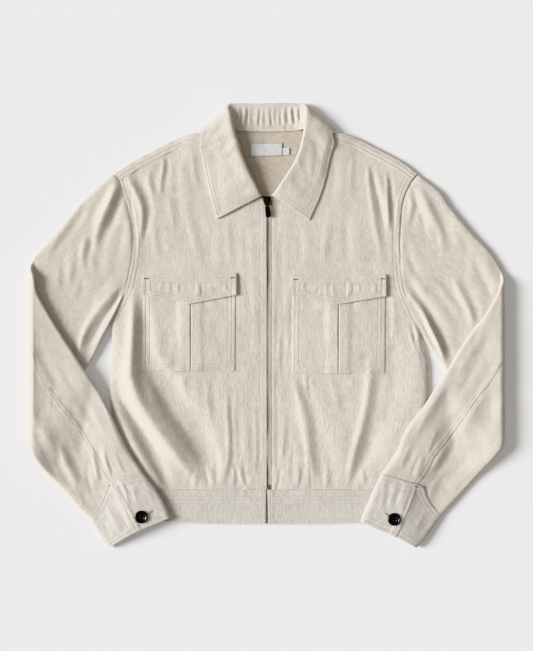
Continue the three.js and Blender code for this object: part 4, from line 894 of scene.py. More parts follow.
for side in ("right", "left"):
    shape = POCKET[side]
    a = np.linspace(0, 1, 74)[None, :]
    down = np.linspace(0, 1, 26)[:, None]
    u = mix(shape["inner"] - 1.5, shape["outer"] + 1.5, a) + 0 * down
    tip = 1 - np.sqrt((np.abs(a - 0.5) * 2) ** 2 + 0.0006)
    end = mix(shape["top"] - 34, shape["tip"], tip)
    y = mix(shape["top"] + 2 + (2.0 if side == "right" else -1.6) * (0.5 - a), end, down)
    fall = (shape["top"] + 2 - y)
    from_slit = u - shape["slit"]
    pleat = smooth((30 - np.abs(from_slit)) / 22) * 1.1 * PLY * smooth((down - 0.35) / 0.5)
    lift = smooth(down / 0.18) * (POCKET_CLOTH + 0.7 + pleat)
    z = front_height(side, u, y) + CLOTH / 2 + 0.6 + 1.0 + lift
    seed = 81 if side == "right" else 91
    FLAP_FOLDS = {
        "right": [
            [(164, 74, 2.4, -0.5), (163, 62, 2.4, -0.8), (166, 52, 2.4, -0.4)], [(148, 74, 2.4, -0.5), (148, 60, 2.4, -0.9), (144, 50, 2.2, -0.4)],
            [(156, 72, 3, 0.5), (156, 60, 3, 0.8), (156, 50, 3, 0.4)], [(114, 74, 2.4, -0.5), (112, 60, 2.6, -1.0), (114, 46, 2.4, -0.5)],
            [(122, 74, 3, 0.5), (120, 60, 3, 0.9), (122, 46, 3, 0.4)], [(96, 74, 3, -0.3), (92, 64, 3, -0.6), (88, 56, 3, -0.3)],
            [(70, 72, 4, -0.4), (66, 62, 4, -0.7), (64, 56, 4, -0.3)], [(180, 74, 4, 0.4), (184, 64, 4, 0.6), (182, 56, 4, 0.3)],
        ],
        "left": [
            [(104, 72, 2.6, -0.4), (102, 58, 2.6, -0.7), (104, 46, 2.6, -0.3)], [(110, 74, 3, 0.5), (110, 58, 3, 0.8), (112, 44, 3, 0.4)],
            [(143, 76, 2.4, -0.5), (144, 62, 2.6, -1.0), (142, 48, 2.4, -0.4)], [(136, 76, 3, 0.5), (136, 60, 3, 1.0), (134, 46, 3, 0.4)],
            [(156, 74, 3, -0.4), (158, 64, 3, -0.8), (156, 54, 3, -0.3)], [(86, 72, 3.4, -0.3), (84, 60, 3.4, -0.6), (80, 52, 3.4, -0.3)],
            [(176, 72, 4, 0.4), (180, 62, 4, 0.7), (178, 56, 4, 0.3)], [(66, 74, 4, -0.3), (64, 66, 4, -0.6), (64, 58, 4, -0.3)],
        ],
    }[side]
    z = z + folds(FLAP_FOLDS, u, y, SIGN[side]) * smooth((down - 0.12) / 0.2) * smooth((1.02 - down) / 0.2)
    to_low = np.linalg.norm(np.diff(np.stack([u, y], -1), axis=0), axis=2)
    to_low = np.concatenate([np.cumsum(to_low[::-1], axis=0)[::-1], np.zeros((1, u.shape[1]))], axis=0)
    to_side = np.minimum(u - u[:, :1], u[:, -1:] - u)
    to_low = to_low * 0.93
    z = z + 0.16 * ripples(u, to_low, 8, 10, seed) * smooth(to_low / 2)
    z = z + 0.5 * smooth((8 - to_side) / 8) * smooth((down - 0.3) / 0.4)
    edge = np.minimum(np.minimum(to_side * 0.8, to_low * 1.15), np.maximum(fall * 0.8, 0.5) + 0 * u)
    points = np.stack([u * SIGN[side], y, z], -1)
    flap = cloth("flap_" + side, points, 2.0, canvas_out, ["flap_" + side], edge)
    rows = []
    for distance in (3.6, 9.6):
        p, n = inset(points, "top", distance)
        keep = (to_side[0] > 5)
        rows.append((p[keep], n[keep]))
    for part in ("first", "last"):
        p, n = inset(points, part, 6.6)
        rows.append((p[3:-4], n[3:-4]))
    p, n = inset(points, "bottom", 6.8)
    keep = to_side[0] > 6.6
    rows.append((p[keep], n[keep]))
    flap_rows = [stitches("flap_stitches_" + side, rows, 1.03)]
    for part, name in ((0, "inner"), (-1, "outer")):
        column = 3 if part == 0 else u.shape[1] - 4
        spot = points[5, column]
        flap_rows.append(bartack("flap_bar_" + name + "_" + side, spot + np.array([0, 0, 1.0]), (1, 0.03, 0), (0, 0, 1), 7.5, 1.7))

# WAISTBAND. A two-layer band that the fronts and the back are sewn into; its front halves meet
# at the zip. Sewn on with a row along the seam and one 17 mm below it, which draws the cloth in.

BAND_Y = -336
canvas_band = canvas("canvas_band", (0.715, 0.672, 0.612))


def band_grid(side):
    a = np.linspace(0, 1, 82)[None, :]
    down = np.linspace(0, 1, 30)[:, None]
    end = mix(side_u(side, HEM_Y), 214, down) - 0.6
    start = 0.8 + 1.4 * down if side == "right" else 1.0 + 1.6 * down
    u = mix(start, end, a)
    y = mix(HEM_Y - 0.3, BAND_Y + 8 * a ** 3, down)
    d = 1 - np.minimum(1, (end - u) / 12)
    flat = FRONT_Z + 0.4 + 0.8 * smooth(down / 0.2) * (1 - smooth((down - 0.7) / 0.3))
    seed = 101 if side == "right" else 111
    fall = HEM_Y - y
    pull = ripples(u, fall, 10, 16, seed) * smooth(fall / 3) * (1 - smooth((fall - 11) / 6))
    flat = flat + 1.0 * pull * (0.7 + 0.5 * np.exp(-((u - 26) / 22) ** 2))
    flat = flat - 0.45 * np.exp(-((fall - 17.5) / 2.2) ** 2)
    flat = flat + 0.22 * lattice(u / 22, y / 16 + 3, seed + 2) * smooth((fall - 18) / 6)
    flat = flat + 0.15 * ripples(u, BAND_Y + 58 - y + 0 * u, 9, 10, seed + 4)
    flat = flat + 0.35 * np.exp(-((u - 5) / 4) ** 2)
    z = mix(2.0 + 0.4 + 1.0, flat, np.sqrt(1 - d * d))
    edge = np.minimum(np.where(u < 40, (u - start) * 1.05, 50), np.abs(fall - 17.5) + 5.5)
    return np.stack([u * SIGN[side], y, z], -1), edge


for side in ("right", "left"):
    points, sewn = band_grid(side)
    band = cloth("waistband_" + side, points, 2.0, canvas_band, ["waistband_" + side], sewn)
    rows = []
    for distance in (2.0, 17.5):
        rows.append(inset(points, "bottom", distance))
    for distance in (4.5, 11.0):
        rows.append(inset(points, "first", distance))
    band_rows = stitches("waistband_stitches_" + side, rows, 1.03)

a = np.linspace(-1, 1, 90)[None, :]
down = np.linspace(0, 1, 14)[:, None]
end = mix(np.where(a < 0, side_u("right", HEM_Y), side_u("left", HEM_Y)), 214, down) - 0.6
y = mix(HEM_Y - 0.6, BAND_Y + 8 * np.abs(a) ** 3, down)
points = np.stack([a * end, y, 1.0 + 0.12 * (lattice(a * 12 + 13, y / 20, 121) + 1)], -1)
band = cloth("waistband_back", points, 2.0, canvas_band, ["waistband_back"], np.abs(y - HEM_Y + 17.5) + 5.5)

# SLEEVES. Two panels each, joined by a flat-felled seam down the back of the arm and another under
# it. The sleeve lies flat, turns over at the elbow, and the forearm comes back across the body.

SLEEVE = {
    "right": {
        "upper_top": [(260, 258.5), (290, 234), (318, 207), (340, 180), (363, 152), (384, 129), (393.8, 118)],
        "upper_under": [(265, 10), (287, -35), (308, -73), (352, -135), (378, -170), (393.8, -190)],
        "fore_top": [(393.8, 86), (391, 62), (382, 42), (358, 1), (335, -35), (309, -75),
                     (287, -108), (263, -152), (239, -204), (210, -249)],
        "fore_under": [(393.8, -221), (385, -235), (367, -256), (341, -283), (318, -310), (300, -326)],
        "cuff_seam": [(210, -249), (251, -256), (268, -266), (277, -287), (283, -302), (300, -326)],
        "cuff_top": [(210, -249), (180, -290), (164, -325)],
        "cuff_under": [(300, -326), (282, -358), (267, -376)],
        "cuff_end": [(164, -325), (221, -349), (267, -376)],
        "slit_at_end": 0.56,
        "button": (212, -323),
    },
    "left": {
        "upper_top": [(257, 257), (294, 228), (313, 201), (350, 156), (376, 128), (393.8, 102)],
        "upper_under": [(261, -4), (277, -36), (306, -75), (345, -135), (374, -172), (393.8, -192)],
        "fore_top": [(393.8, 66), (388, 50), (366, 13), (350, -5), (327, -39), (306, -75),
                     (285, -107), (265, -138), (236, -176), (219, -214), (194, -250)],
        "fore_under": [(393.8, -212), (386, -221), (363, -247), (334, -280), (295, -323)],
        "cuff_seam": [(194, -250), (213, -256), (257, -269), (265, -274), (274, -296), (295, -323)],
        "cuff_top": [(194, -250), (178, -286), (159, -331)],
        "cuff_under": [(295, -323), (268, -360), (253, -376)],
        "cuff_end": [(159, -331), (184, -343), (218, -357), (253, -376)],
        "slit_at_end": 0.62,
        "button": (215, -327),
    },
}
FOLD_U = 393.8
FOLD_Z = 9.4
SLEEVE_EDGE = 7
SLEEVE_HALF = 3.3
SEAM_SHARE = 0.475
UPPER_FOLDS = {
    "right": [
        [(246, 248, 7, -2.0), (252, 232, 9, -4.4), (262, 206, 10, -4.8), (272, 182, 11, -4.4), (281, 160, 10, -3.4),
         (286, 140, 9, -2.2), (288, 118, 8, -0.8)],
        [(256, 252, 8, 1.0), (274, 214, 10, 1.8), (290, 184, 11, 1.6), (298, 156, 10, 0.8)],
        [(300, 226, 7, -1.0), (318, 196, 8, -1.8), (334, 172, 9, -2.6), (350, 150, 9, -2.8), (362, 132, 8, -2.0), (372, 112, 7, -0.8)],
        [(300, 156, 7, -1.0), (304, 138, 8, -2.2), (308, 118, 9, -1.8), (306, 94, 8, -0.7)],
        [(290, 132, 6, -0.4), (294, 112, 7, -1.1), (288, 92, 7, -0.5)], [(324, 110, 7, -0.4), (330, 86, 8, -1.0), (326, 62, 7, -0.5)],
        [(346, 100, 7, -0.4), (350, 80, 7, -1.0), (350, 60, 7, -0.5)], [(316, 80, 6, -0.3), (318, 62, 7, -0.8), (330, 40, 7, -0.4)],
        [(240, 76, 7, -1.0), (252, 58, 8, -2.0), (268, 38, 10, -3.0), (284, 18, 11, -3.8), (298, -4, 11, -4.2), (309, -28, 10, -3.8),
         (316, -60, 8, -2.0)],
        [(242, 66, 6, 1.2), (252, 42, 7, 2.4), (266, 20, 7, 2.6), (282, -8, 8, 2.4), (296, -36, 7, 1.6)],
        [(246, 92, 9, 0.5), (262, 76, 11, 1.2), (282, 54, 11, 1.2), (302, 34, 10, 0.6)],
        [(236, 190, 6, 0.5), (242, 150, 8, 1.0), (250, 108, 8, 0.7)], [(268, 136, 9, 0.4), (276, 110, 10, 0.9), (272, 78, 9, 0.5)],
        [(330, 130, 8, 0.5), (340, 112, 9, 1.0), (338, 84, 9, 0.5)],
    ],
    "left": [
        [(238, 238, 5, -0.8), (246, 220, 6, -1.9), (249, 204, 6, -2.2), (245, 184, 6, -1.6), (240, 160, 7, -0.7)],
        [(252, 248, 8, -0.8), (264, 230, 9, -2.0), (276, 208, 10, -2.4), (288, 184, 10, -2.4), (298, 162, 10, -2.2),
         (304, 138, 10, -1.4), (306, 112, 9, -0.6)],
        [(256, 220, 7, 0.6), (264, 198, 8, 1.6), (272, 172, 9, 1.4), (272, 140, 9, 0.6)],
        [(296, 206, 9, 0.5), (322, 172, 11, 1.1), (344, 140, 11, 1.2), (356, 112, 10, 0.6)],
        [(240, 150, 8, 0.4), (246, 120, 9, 0.8), (256, 88, 9, 0.5)], [(236, 118, 7, -0.4), (248, 92, 8, -0.9), (266, 66, 8, -0.5)],
        [(318, 92, 9, -0.8), (328, 68, 10, -1.8), (340, 44, 10, -2.4), (350, 20, 9, -2.6), (356, -8, 8, -1.4)],
        [(352, 122, 10, 0.8), (368, 92, 12, 2.0), (382, 64, 11, 2.2), (386, 40, 9, 1.2)],
        [(234, 76, 6, -1.2), (244, 56, 7, -2.6), (258, 38, 7, -3.4), (270, 20, 7, -4.4), (281, -2, 8, -5.0), (292, -24, 9, -5.0),
         (304, -52, 9, -3.6), (312, -76, 8, -1.6)],
        [(240, 82, 6, 0.6), (256, 62, 7, 1.6), (276, 40, 8, 1.6), (300, 6, 10, 1.2), (316, -26, 10, 0.7)],
        [(284, 84, 7, -0.5), (302, 60, 8, -1.3), (320, 36, 8, -1.4), (336, 14, 7, -0.6)],
        [(262, 18, 4, 0.8), (272, -4, 5, 1.8), (286, -30, 5, 1.6), (298, -56, 5, 0.8)],
    ],
}
FORE_FOLDS = {
    "right": [
        [(392, -20, 9, -0.6), (384, -56, 10, -1.4), (370, -84, 9, -1.4), (352, -112, 8, -0.7)],
        [(398, -110, 12, -0.5), (388, -146, 14, -1.3), (366, -180, 14, -1.4), (344, -214, 12, -0.7)],
        [(346, -190, 9, -0.6), (338, -222, 10, -1.7), (326, -248, 10, -1.5), (312, -276, 8, -0.7)],
        [(356, -214, 9, 0.6), (342, -244, 10, 1.4), (322, -274, 9, 1.0), (306, -298, 8, 0.5)],
        [(296, -200, 5, -0.6), (290, -222, 6, -1.8), (286, -244, 6, -2.0), (282, -268, 5, -0.9)],
        [(280, -196, 5, 0.5), (278, -222, 6, 1.3), (270, -246, 5, 1.4), (262, -262, 4, 0.6)],
        [(274, -212, 4, -0.6), (270, -232, 4, -1.4), (262, -252, 4, -0.8)], [(330, -130, 7, 0.4), (316, -156, 8, 0.9), (304, -184, 7, 0.5)],
        [(300, -120, 9, -0.4), (284, -150, 10, -0.9), (268, -182, 9, -0.5)], [(346, -60, 9, 0.5), (330, -88, 11, 1.0), (312, -116, 10, 0.6)],
        [(256, -212, 5, -0.4), (248, -232, 5, -0.8), (240, -250, 5, -0.4)], [(330, -262, 7, -0.4), (318, -282, 7, -0.9), (306, -304, 6, -0.5)],
        [(388, -170, 9, 0.5), (374, -204, 10, 1.0), (356, -234, 9, 0.5)], [(300, -230, 6, 0.5), (300, -256, 7, 1.3), (292, -284, 6, 0.6)],
    ],
    "left": [
        [(376, -6, 9, -0.5), (360, -34, 11, -1.2), (342, -62, 11, -1.2), (322, -92, 10, -0.6)],
        [(312, -86, 8, -0.5), (298, -116, 10, -1.4), (280, -146, 11, -1.6), (262, -176, 10, -1.2), (246, -204, 9, -0.6)],
        [(388, -80, 14, -0.8), (374, -120, 17, -2.2), (352, -160, 18, -2.8), (332, -200, 16, -1.6)],
        [(316, -196, 7, -0.5), (302, -216, 9, -1.6), (290, -236, 9, -1.6), (276, -252, 7, -0.6)],
        [(356, -206, 10, 0.4), (338, -234, 12, 0.7), (318, -262, 11, 0.6), (302, -288, 9, 0.3)],
        [(290, -176, 5, -0.4), (280, -200, 5, -0.8), (272, -220, 5, -0.4)], [(262, -216, 5, 0.5), (254, -238, 6, 1.4), (246, -258, 5, 0.9)],
        [(250, -196, 6, -0.4), (238, -220, 7, -1.0), (228, -246, 6, -0.6)], [(228, -206, 7, 0.4), (216, -230, 8, 0.9), (206, -250, 7, 0.5)],
        [(332, -110, 9, 0.4), (312, -140, 10, 0.8), (296, -170, 9, 0.4)], [(366, -60, 9, 0.4), (346, -92, 10, 0.8), (326, -124, 9, 0.4)],
        [(300, -256, 8, -0.4), (284, -280, 9, -0.9), (276, -300, 7, -0.4)],
    ],
}


def support(side, u, y):
    """Height of whatever the forearm lies on."""
    fade = lambda d: np.where(d <= 0, 1, np.where(d >= 75, 0, (1 + np.cos(np.pi * np.clip(d / 75, 0, 1))) / 2))
    beside = u - side_u(side, np.maximum(HEM_Y, np.minimum(y, ARMPIT[side]))) - 2
    body = 9.0 * fade(np.hypot(np.maximum(0, beside), np.maximum(0, BAND_Y - 2 - y)))
    beyond = fade((265 - u) * 0.839 + (10 - y) * 0.544 - 12)
    return ((body ** 5 + (9.6 * beyond) ** 5) ** 0.2) + 1.3 * smooth((u - 350) / 40) * beyond


def sleeve_patches(side):
    s = SLEEVE[side]
    arm = curve(ARMHOLE[side][::-1])
    line = lambda p, q: (lambda t: np.stack([FOLD_U + 0 * np.asarray(t), mix(p, q, np.asarray(t, float))], -1))
    top_a, under_a = curve(s["upper_top"]), curve(s["upper_under"])
    upper = patch(top_a, under_a, lambda t: arm(t) + np.array([-1.6, 0]),
                  line(s["upper_top"][-1][1], s["upper_under"][-1][1]))
    fore = patch(curve(s["fore_top"]), curve(s["fore_under"]),
                 line(s["fore_top"][0][1], s["fore_under"][0][1]), curve(s["cuff_seam"]))
    cuff = patch(curve(s["cuff_top"]), curve(s["cuff_under"]), curve(s["cuff_seam"]), curve(s["cuff_end"]))
    return upper, fore, cuff


def around(panel, width, seam, front=46, back=26):
    """Shares across a flat sleeve and its layer: 1 the front of the sleeve, -1 the back."""
    rim = SLEEVE_EDGE / width
    turn = np.radians(np.linspace(-90, 90, 11))
    edge_d, edge_layer = rim * (1 - np.cos(turn)), np.sin(turn)
    if panel == "top":
        w = np.concatenate([np.linspace(seam - 0.05 / width, rim, back, endpoint=False), edge_d,
                            np.linspace(rim, 1 - rim, front)[1:-1], 1 - edge_d[::-1],
                            1 - np.linspace(SLEEVE_EDGE, 10.4, 3)[1:] / width])
        layer = np.concatenate([-np.ones(back), edge_layer, np.ones(front - 2), edge_layer[::-1], -np.ones(2)])
    else:
        w = np.linspace(1 - 10.5 / width, seam + 0.1 / width, back + 4)
        layer = -np.ones(back + 4)
    return w, layer


def covered_by(side, u, y):
    rows = np.array(SLEEVE[side]["fore_top"][::-1], float)
    edge = np.interp(y, rows[:, 1], rows[:, 0])
    return np.where(y > rows[-1, 1], -100, u - edge)


def upper_ring(side, upper, v, panel):
    width = float(np.linalg.norm(upper(v, 0.0) - upper(v, 1.0)))
    w, layer = around(panel, width, SEAM_SHARE)
    if panel == "under":
        w = w - np.linspace(14, 0, len(w)) / width * (1 - smooth(v / 0.3))
    p = upper(v + 0 * w, w)
    half = mix(mix(2.7, SLEEVE_HALF, smooth(v / 0.25)), 2.9, smooth((v - 0.75) / 0.25))
    belly = 4 * w * (1 - w)
    covered = smooth((covered_by(side, p[:, 0], p[:, 1]) + 6) / 14)
    seed = 131 if side == "right" else 141
    to_arm = v * 300
    fold = sunk(folds(UPPER_FOLDS[side], p[:, 0], p[:, 1], SIGN[side]), 3.8)
    fold = fold + 0.75 * lattice(p[:, 0] / 30, p[:, 1] / 36 + 20, seed)
    fold = fold + 0.26 * lattice(p[:, 0] / 12, p[:, 1] / 15 + 20, seed + 1)
    fold = fold + 0.6 * ripples(w * width, to_arm + 0 * w, 11, 14, seed + 2) * smooth(to_arm / 4)
    fold = fold * (1 - covered) * smooth(belly / 0.22)
    top = BACK_Z + 2 * half - 1.8 * belly * smooth(v / 0.2) * (1 - v) + fold
    top = mix(np.minimum(top, 3.7 + 0 * top), top, smooth(to_arm / 9)) if panel == "top" else top
    z = mix(BACK_Z, top, (layer + 1) / 2)
    return np.stack([p[:, 0], p[:, 1], z], -1), w * width


def fore_ring(side, fore, v, panel):
    width = float(np.linalg.norm(fore(v, 0.0) - fore(v, 1.0)))
    w, layer = around(panel, width, SEAM_SHARE)
    p = fore(v + 0 * w, w)
    belly = 4 * w * (1 - w)
    low = support(side, p[:, 0], p[:, 1]) + CLOTH / 2
    seed = 151 if side == "right" else 161
    seam = np.abs(w - SEAM_SHARE) * width
    length = 400
    to_cuff = (1 - v) * length
    fold = sunk(folds(FORE_FOLDS[side], p[:, 0], p[:, 1], SIGN[side]), 3.6)
    fold = fold + 0.75 * lattice(p[:, 0] / 28, p[:, 1] / 34 + 20, seed)
    fold = fold + 0.28 * lattice(p[:, 0] / 11, p[:, 1] / 14 + 20, seed + 1)
    fold = fold + 0.8 * ripples(w * width, to_cuff + 0 * w, 12, 16, seed + 2) * smooth(to_cuff / 4)
    fold = fold + 0.6 * ripples(v * length + 0 * w, seam, 10, 12, seed + 3) * smooth(v / 0.1) * smooth(seam / 2)
    felled = np.where(w < SEAM_SHARE, smooth((13 - seam) / 2.4) * 0.45, -0.15)
    fold = (fold + felled) * smooth(belly / 0.22)
    under = ripples(v * length + 0 * w, w * width, 13, 12, seed + 5)
    high = low + 2 * SLEEVE_HALF - 1.8 * belly * smooth(v / 0.15) + fold + 0.22 * under * smooth(belly / 0.1)
    z = mix(high, low, (layer + 1) / 2)
    return np.stack([p[:, 0], p[:, 1], z], -1), w * width


def sleeve_grid(side, panel):
    upper, fore, _ = sleeve_patches(side)
    rings = [upper_ring(side, upper, v, panel)[0] for v in np.linspace(0, 1, 58)]
    start, stop = rings[-1], fore_ring(side, fore, 0.0, panel)[0]
    for part in np.linspace(0, 1, 13)[1:-1]:
        radius = mix(FOLD_Z - start[:, 2], stop[:, 2] - FOLD_Z, part)
        angle = math.pi * part
        rings.append(np.stack([mix(start[:, 0], stop[:, 0], part) + radius * math.sin(angle),
                               mix(start[:, 1], stop[:, 1], part),
                               FOLD_Z - radius * math.cos(angle)], -1))
    first_fore = len(rings)
    rings += [fore_ring(side, fore, v, panel)[0] for v in np.linspace(0, 1, 116)]
    grid = np.array(rings)
    grid[..., 0] *= SIGN[side]
    return grid, first_fore


for side in ("right", "left"):
    rows = []
    for panel in ("top", "under"):
        points, first_fore = sleeve_grid(side, panel)
        run = np.linalg.norm(np.diff(points, axis=1), axis=2)
        run = np.concatenate([np.zeros((len(run), 1)), np.cumsum(run, axis=1)], axis=1)
        edge = run * 1.0 if panel == "top" else 0 * run + 50
        cloth("sleeve_" + panel + "_" + side, points, CLOTH, canvas_out,
                              ["sleeve_" + panel + "_" + side], edge)
        if panel == "top":
            for distance in (5.5, 12):
                rows.append(inset(points[first_fore - 4:], "first", distance))
        else:
            hidden = points[first_fore + 2:]
            rows.append(inset(hidden, "first", 3.0))
    sleeve_rows = stitches("sleeve_stitches_" + side, rows, CLOTH / 2 + 0.02)

# CUFFS. A two-layer band round each wrist, sewn to the sleeve and open at the slit, which is
# edged with two rows and barred at its head. One button closes it.

CUFF_DEPTH = 5.8
CUFF_FOLDS = {
    "right": [
        [(264, -262, 4, -0.6), (252, -280, 4, -1.3), (242, -298, 4, -0.7)], [(256, -258, 4, 0.5), (246, -272, 4, 1.2), (236, -292, 4, 0.7)],
        [(244, -262, 4, -0.5), (236, -284, 4, -1.0), (230, -306, 4, -0.5)], [(230, -262, 4, 0.4), (226, -286, 4, 0.8), (222, -306, 4, 0.4)],
        [(268, -298, 9, -0.8), (252, -328, 11, -1.8), (240, -350, 9, -0.9)], [(276, -326, 6, 0.3), (266, -346, 6, 0.6), (262, -360, 5, 0.3)],
        [(204, -262, 5, -0.3), (196, -282, 5, -0.6), (190, -304, 5, -0.3)], [(238, -310, 4, -0.3), (234, -326, 4, -0.6), (228, -342, 4, -0.3)],
    ],
    "left": [
        [(204, -254, 5, -0.4), (200, -284, 6, -1.0), (196, -318, 5, -0.6)], [(234, -262, 5, 0.5), (226, -286, 6, 1.2), (218, -312, 5, 0.6)],
        [(222, -262, 5, -0.5), (214, -290, 5, -0.9), (208, -310, 5, -0.4)], [(250, -274, 4, 0.4), (240, -304, 5, 0.8), (230, -334, 4, 0.4)],
        [(274, -312, 7, -0.4), (262, -334, 8, -0.8), (250, -356, 7, -0.4)], [(186, -270, 5, 0.4), (178, -296, 6, 0.7), (170, -320, 5, 0.3)],
    ],
}
for side in ("right", "left"):
    cuff = sleeve_patches(side)[2]
    rings = []
    spans = []
    for v in np.linspace(0.004, 1, 40):
        seam = mix(SEAM_SHARE, SLEEVE[side]["slit_at_end"], v)
        width = float(np.linalg.norm(cuff(v, 0.0) - cuff(v, 1.0)))
        w_top, layer_top = around("top", width, seam)
        w_under, layer_under = around("under", width, seam)
        w, layer = np.concatenate([w_top, w_under]), np.concatenate([layer_top, layer_under])
        p = cuff(v + 0 * w, w)
        low = support(side, p[:, 0], p[:, 1]) + 1.0
        belly = 4 * w * (1 - w)
        length = 78
        seed = 171 if side == "right" else 181
        to_seam = v * length + 0 * w
        fold = folds(CUFF_FOLDS[side], p[:, 0], p[:, 1], SIGN[side])
        fold = fold + 0.25 * lattice(p[:, 0] / 20, p[:, 1] / 18 + 30, seed)
        fold = fold + 0.4 * ripples(w * width, to_seam, 10, 13, seed + 1) * smooth(to_seam / 3)
        fold = fold + 0.22 * ripples(w * width, length - to_seam, 9, 9, seed + 3) * smooth((length - to_seam) / 2)
        lap = 0.9 * smooth((14 - (seam - w) * width) / 3) * (w < seam) * (layer < -0.9) * smooth(v / 0.2)
        high = low + CUFF_DEPTH + fold * smooth(belly / 0.22) * 0.8 + lap
        z = mix(high, low, (layer + 1) / 2)
        rings.append(np.stack([p[:, 0] * SIGN[side], p[:, 1], z], -1))
        spans.append(np.minimum(to_seam * 0.9, length - to_seam))
    points = np.array(rings)
    run = np.linalg.norm(np.diff(points, axis=1), axis=2)
    run = np.concatenate([np.zeros((len(run), 1)), np.cumsum(run, axis=1)], axis=1)
    sewn = np.minimum(np.minimum(run, run[:, -1:] - run + 6.5), np.array(spans))
    cuff_band = cloth("cuff_" + side, points, 2.0, canvas_band, ["cuff_" + side], sewn)
    rows = []
    for distance in (4.2, 11.4):
        p, n = inset(points, "first", distance)
        rows.append((p[2:-2], n[2:-2]))
    rows.append(inset(points[:, 1:-1], "top", 5.2))
    rows.append(inset(points[:, 1:-1], "bottom", 4.0))
    cuff_rows = stitches("cuff_stitches_" + side, rows, 1.03)
    head = points[1, 0]
    cuff_bar = bartack("cuff_bar_" + side, head + np.array([-SIGN[side] * 1.2, -1.5, 1.0]),
                       (1, 0.25 * -SIGN[side], 0), (0, 0, 1), 6.0, 1.6)

# BUTTONS. Four-hole buttons of glossy black plastic with a raised rim, sewn on with black
# thread, each through a worked buttonhole beside it.

black_plastic = plain("black_plastic", (0.0025, 0.0025, 0.003), 0.34, coat=0.25)
black_thread = plain("black_thread", (0.006, 0.006, 0.007), 0.8)
BUTTON_RADIUS = 10.9


def spun(name, profile, steps, material, where):
    """A turned piece: the profile, radius and height, spun about the upright through where."""
    bm = bmesh.new()
    verts = [bm.verts.new((r * 1e-3, 0, h * 1e-3)) for r, h in profile]
    edges = [bm.edges.new(pair) for pair in zip(verts[:-1], verts[1:])]
    bmesh.ops.spin(bm, geom=verts + edges, cent=(0, 0, 0), axis=(0, 0, 1), angle=2 * math.pi,
                   steps=steps, use_merge=True)
    bmesh.ops.remove_doubles(bm, verts=bm.verts, dist=1e-6)
    bmesh.ops.recalc_face_normals(bm, faces=bm.faces)
    bmesh.ops.translate(bm, verts=bm.verts, vec=Vector((np.array(where) + ORIGIN) * 0.001))
    for f in bm.faces:
        f.smooth = True
    mesh = bpy.data.meshes.new(name)
    bm.to_mesh(mesh)
    bm.free()
    obj = bpy.data.objects.new(name, mesh)
    bpy.context.scene.collection.objects.link(obj)
    mesh.materials.append(material)
    return obj


for side in ("right", "left"):
    u, y = SLEEVE[side]["button"]
    z = float(support(side, np.array(float(u)), np.array(float(y)))) + 2.0 + CUFF_DEPTH + 0.4
    profile = [(0, 0), (8.7, 0), (10.0, 0.35), (10.7, 1.0), (10.9, 1.6), (10.6, 2.5), (9.9, 3.05), (9.2, 3.2),
               (8.5, 3.05), (7.9, 2.6), (7.2, 2.1), (6.2, 1.85), (0, 1.8)]
    button = spun("button_" + side, profile, 56, black_plastic, (u * SIGN[side], y, z))
    bm = bmesh.new()
    for k in range(4):
        angle = math.pi / 2 * k + math.pi / 4
        spot = Vector(((np.array([u * SIGN[side] + 2.6 * math.cos(angle), y + 2.6 * math.sin(angle), z + 1]))
                       + ORIGIN) * 0.001)
        bmesh.ops.create_cone(bm, cap_ends=True, segments=14, radius1=0.95e-3, radius2=0.95e-3, depth=8e-3,
                              matrix=Matrix.Translation(spot))
    drill_mesh = bpy.data.meshes.new("drill")
    bm.to_mesh(drill_mesh)
    bm.free()
    drill = bpy.data.objects.new("drill", drill_mesh)
    bpy.context.scene.collection.objects.link(drill)
    cut = button.modifiers.new("holes", "BOOLEAN")
    cut.object = drill
    cut.operation = "DIFFERENCE"
    cut.solver = "EXACT"
    bpy.context.view_layer.update()
    made = bpy.data.meshes.new_from_object(button.evaluated_get(bpy.context.evaluated_depsgraph_get()))
    button.modifiers.clear()
    button.data = made
    bpy.data.objects.remove(drill)
    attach(button, "jacket")
    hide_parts("button_" + side)
    rows = []
    for k in (0, 1):
        angle = math.pi / 2 * k + math.pi / 4
        way = np.array([math.cos(angle), math.sin(angle), 0]) * 2.6
        centre = np.array([u * SIGN[side], y, z + 2.0 + 0.25 * k])
        for offset in (-0.35, 0.35):
            aside = np.array([-way[1], way[0], 0]) / 2.6 * offset
            line = np.array([centre - way + aside, centre + way + aside])
            rows.append((line, np.array([[0, 0, 1.0]] * 2)))
    stitches("button_thread_" + side, rows, 0.0001, pitch=5.0, width=0.7, material=black_thread)
    hole = np.array([u * SIGN[side], y, 0.0])
    towards = np.array([0.87, 0.5]) if side == "right" else np.array([-0.87, 0.5])
    start = np.array([hole[0], hole[1]]) + towards * 10.5
    stop = np.array([hole[0], hole[1]]) + towards * 19.5
    aside = np.array([-towards[1], towards[0]]) * 0.9
    rows = []
    for s in (-1, 1):
        line = np.array([[*(start + aside * s), z + 0.45], [*(stop + aside * s), z + 0.35]])
        rows.append((line, np.array([[0, 0, 1.0]] * 2)))
    end = np.array([[*(stop + aside * 1.6), z + 0.4], [*(stop - aside * 1.6), z + 0.4]])
    rows.append((end, np.array([[0, 0, 1.0]] * 2)))
    stitches("buttonhole_" + side, rows, 0.02, pitch=0.8, width=1.5)

# ZIP. Cotton tapes under the fronts' edges carry a black spiral of nylon; the left tape shows beside
# the opening. A black slider stands at the top of it.

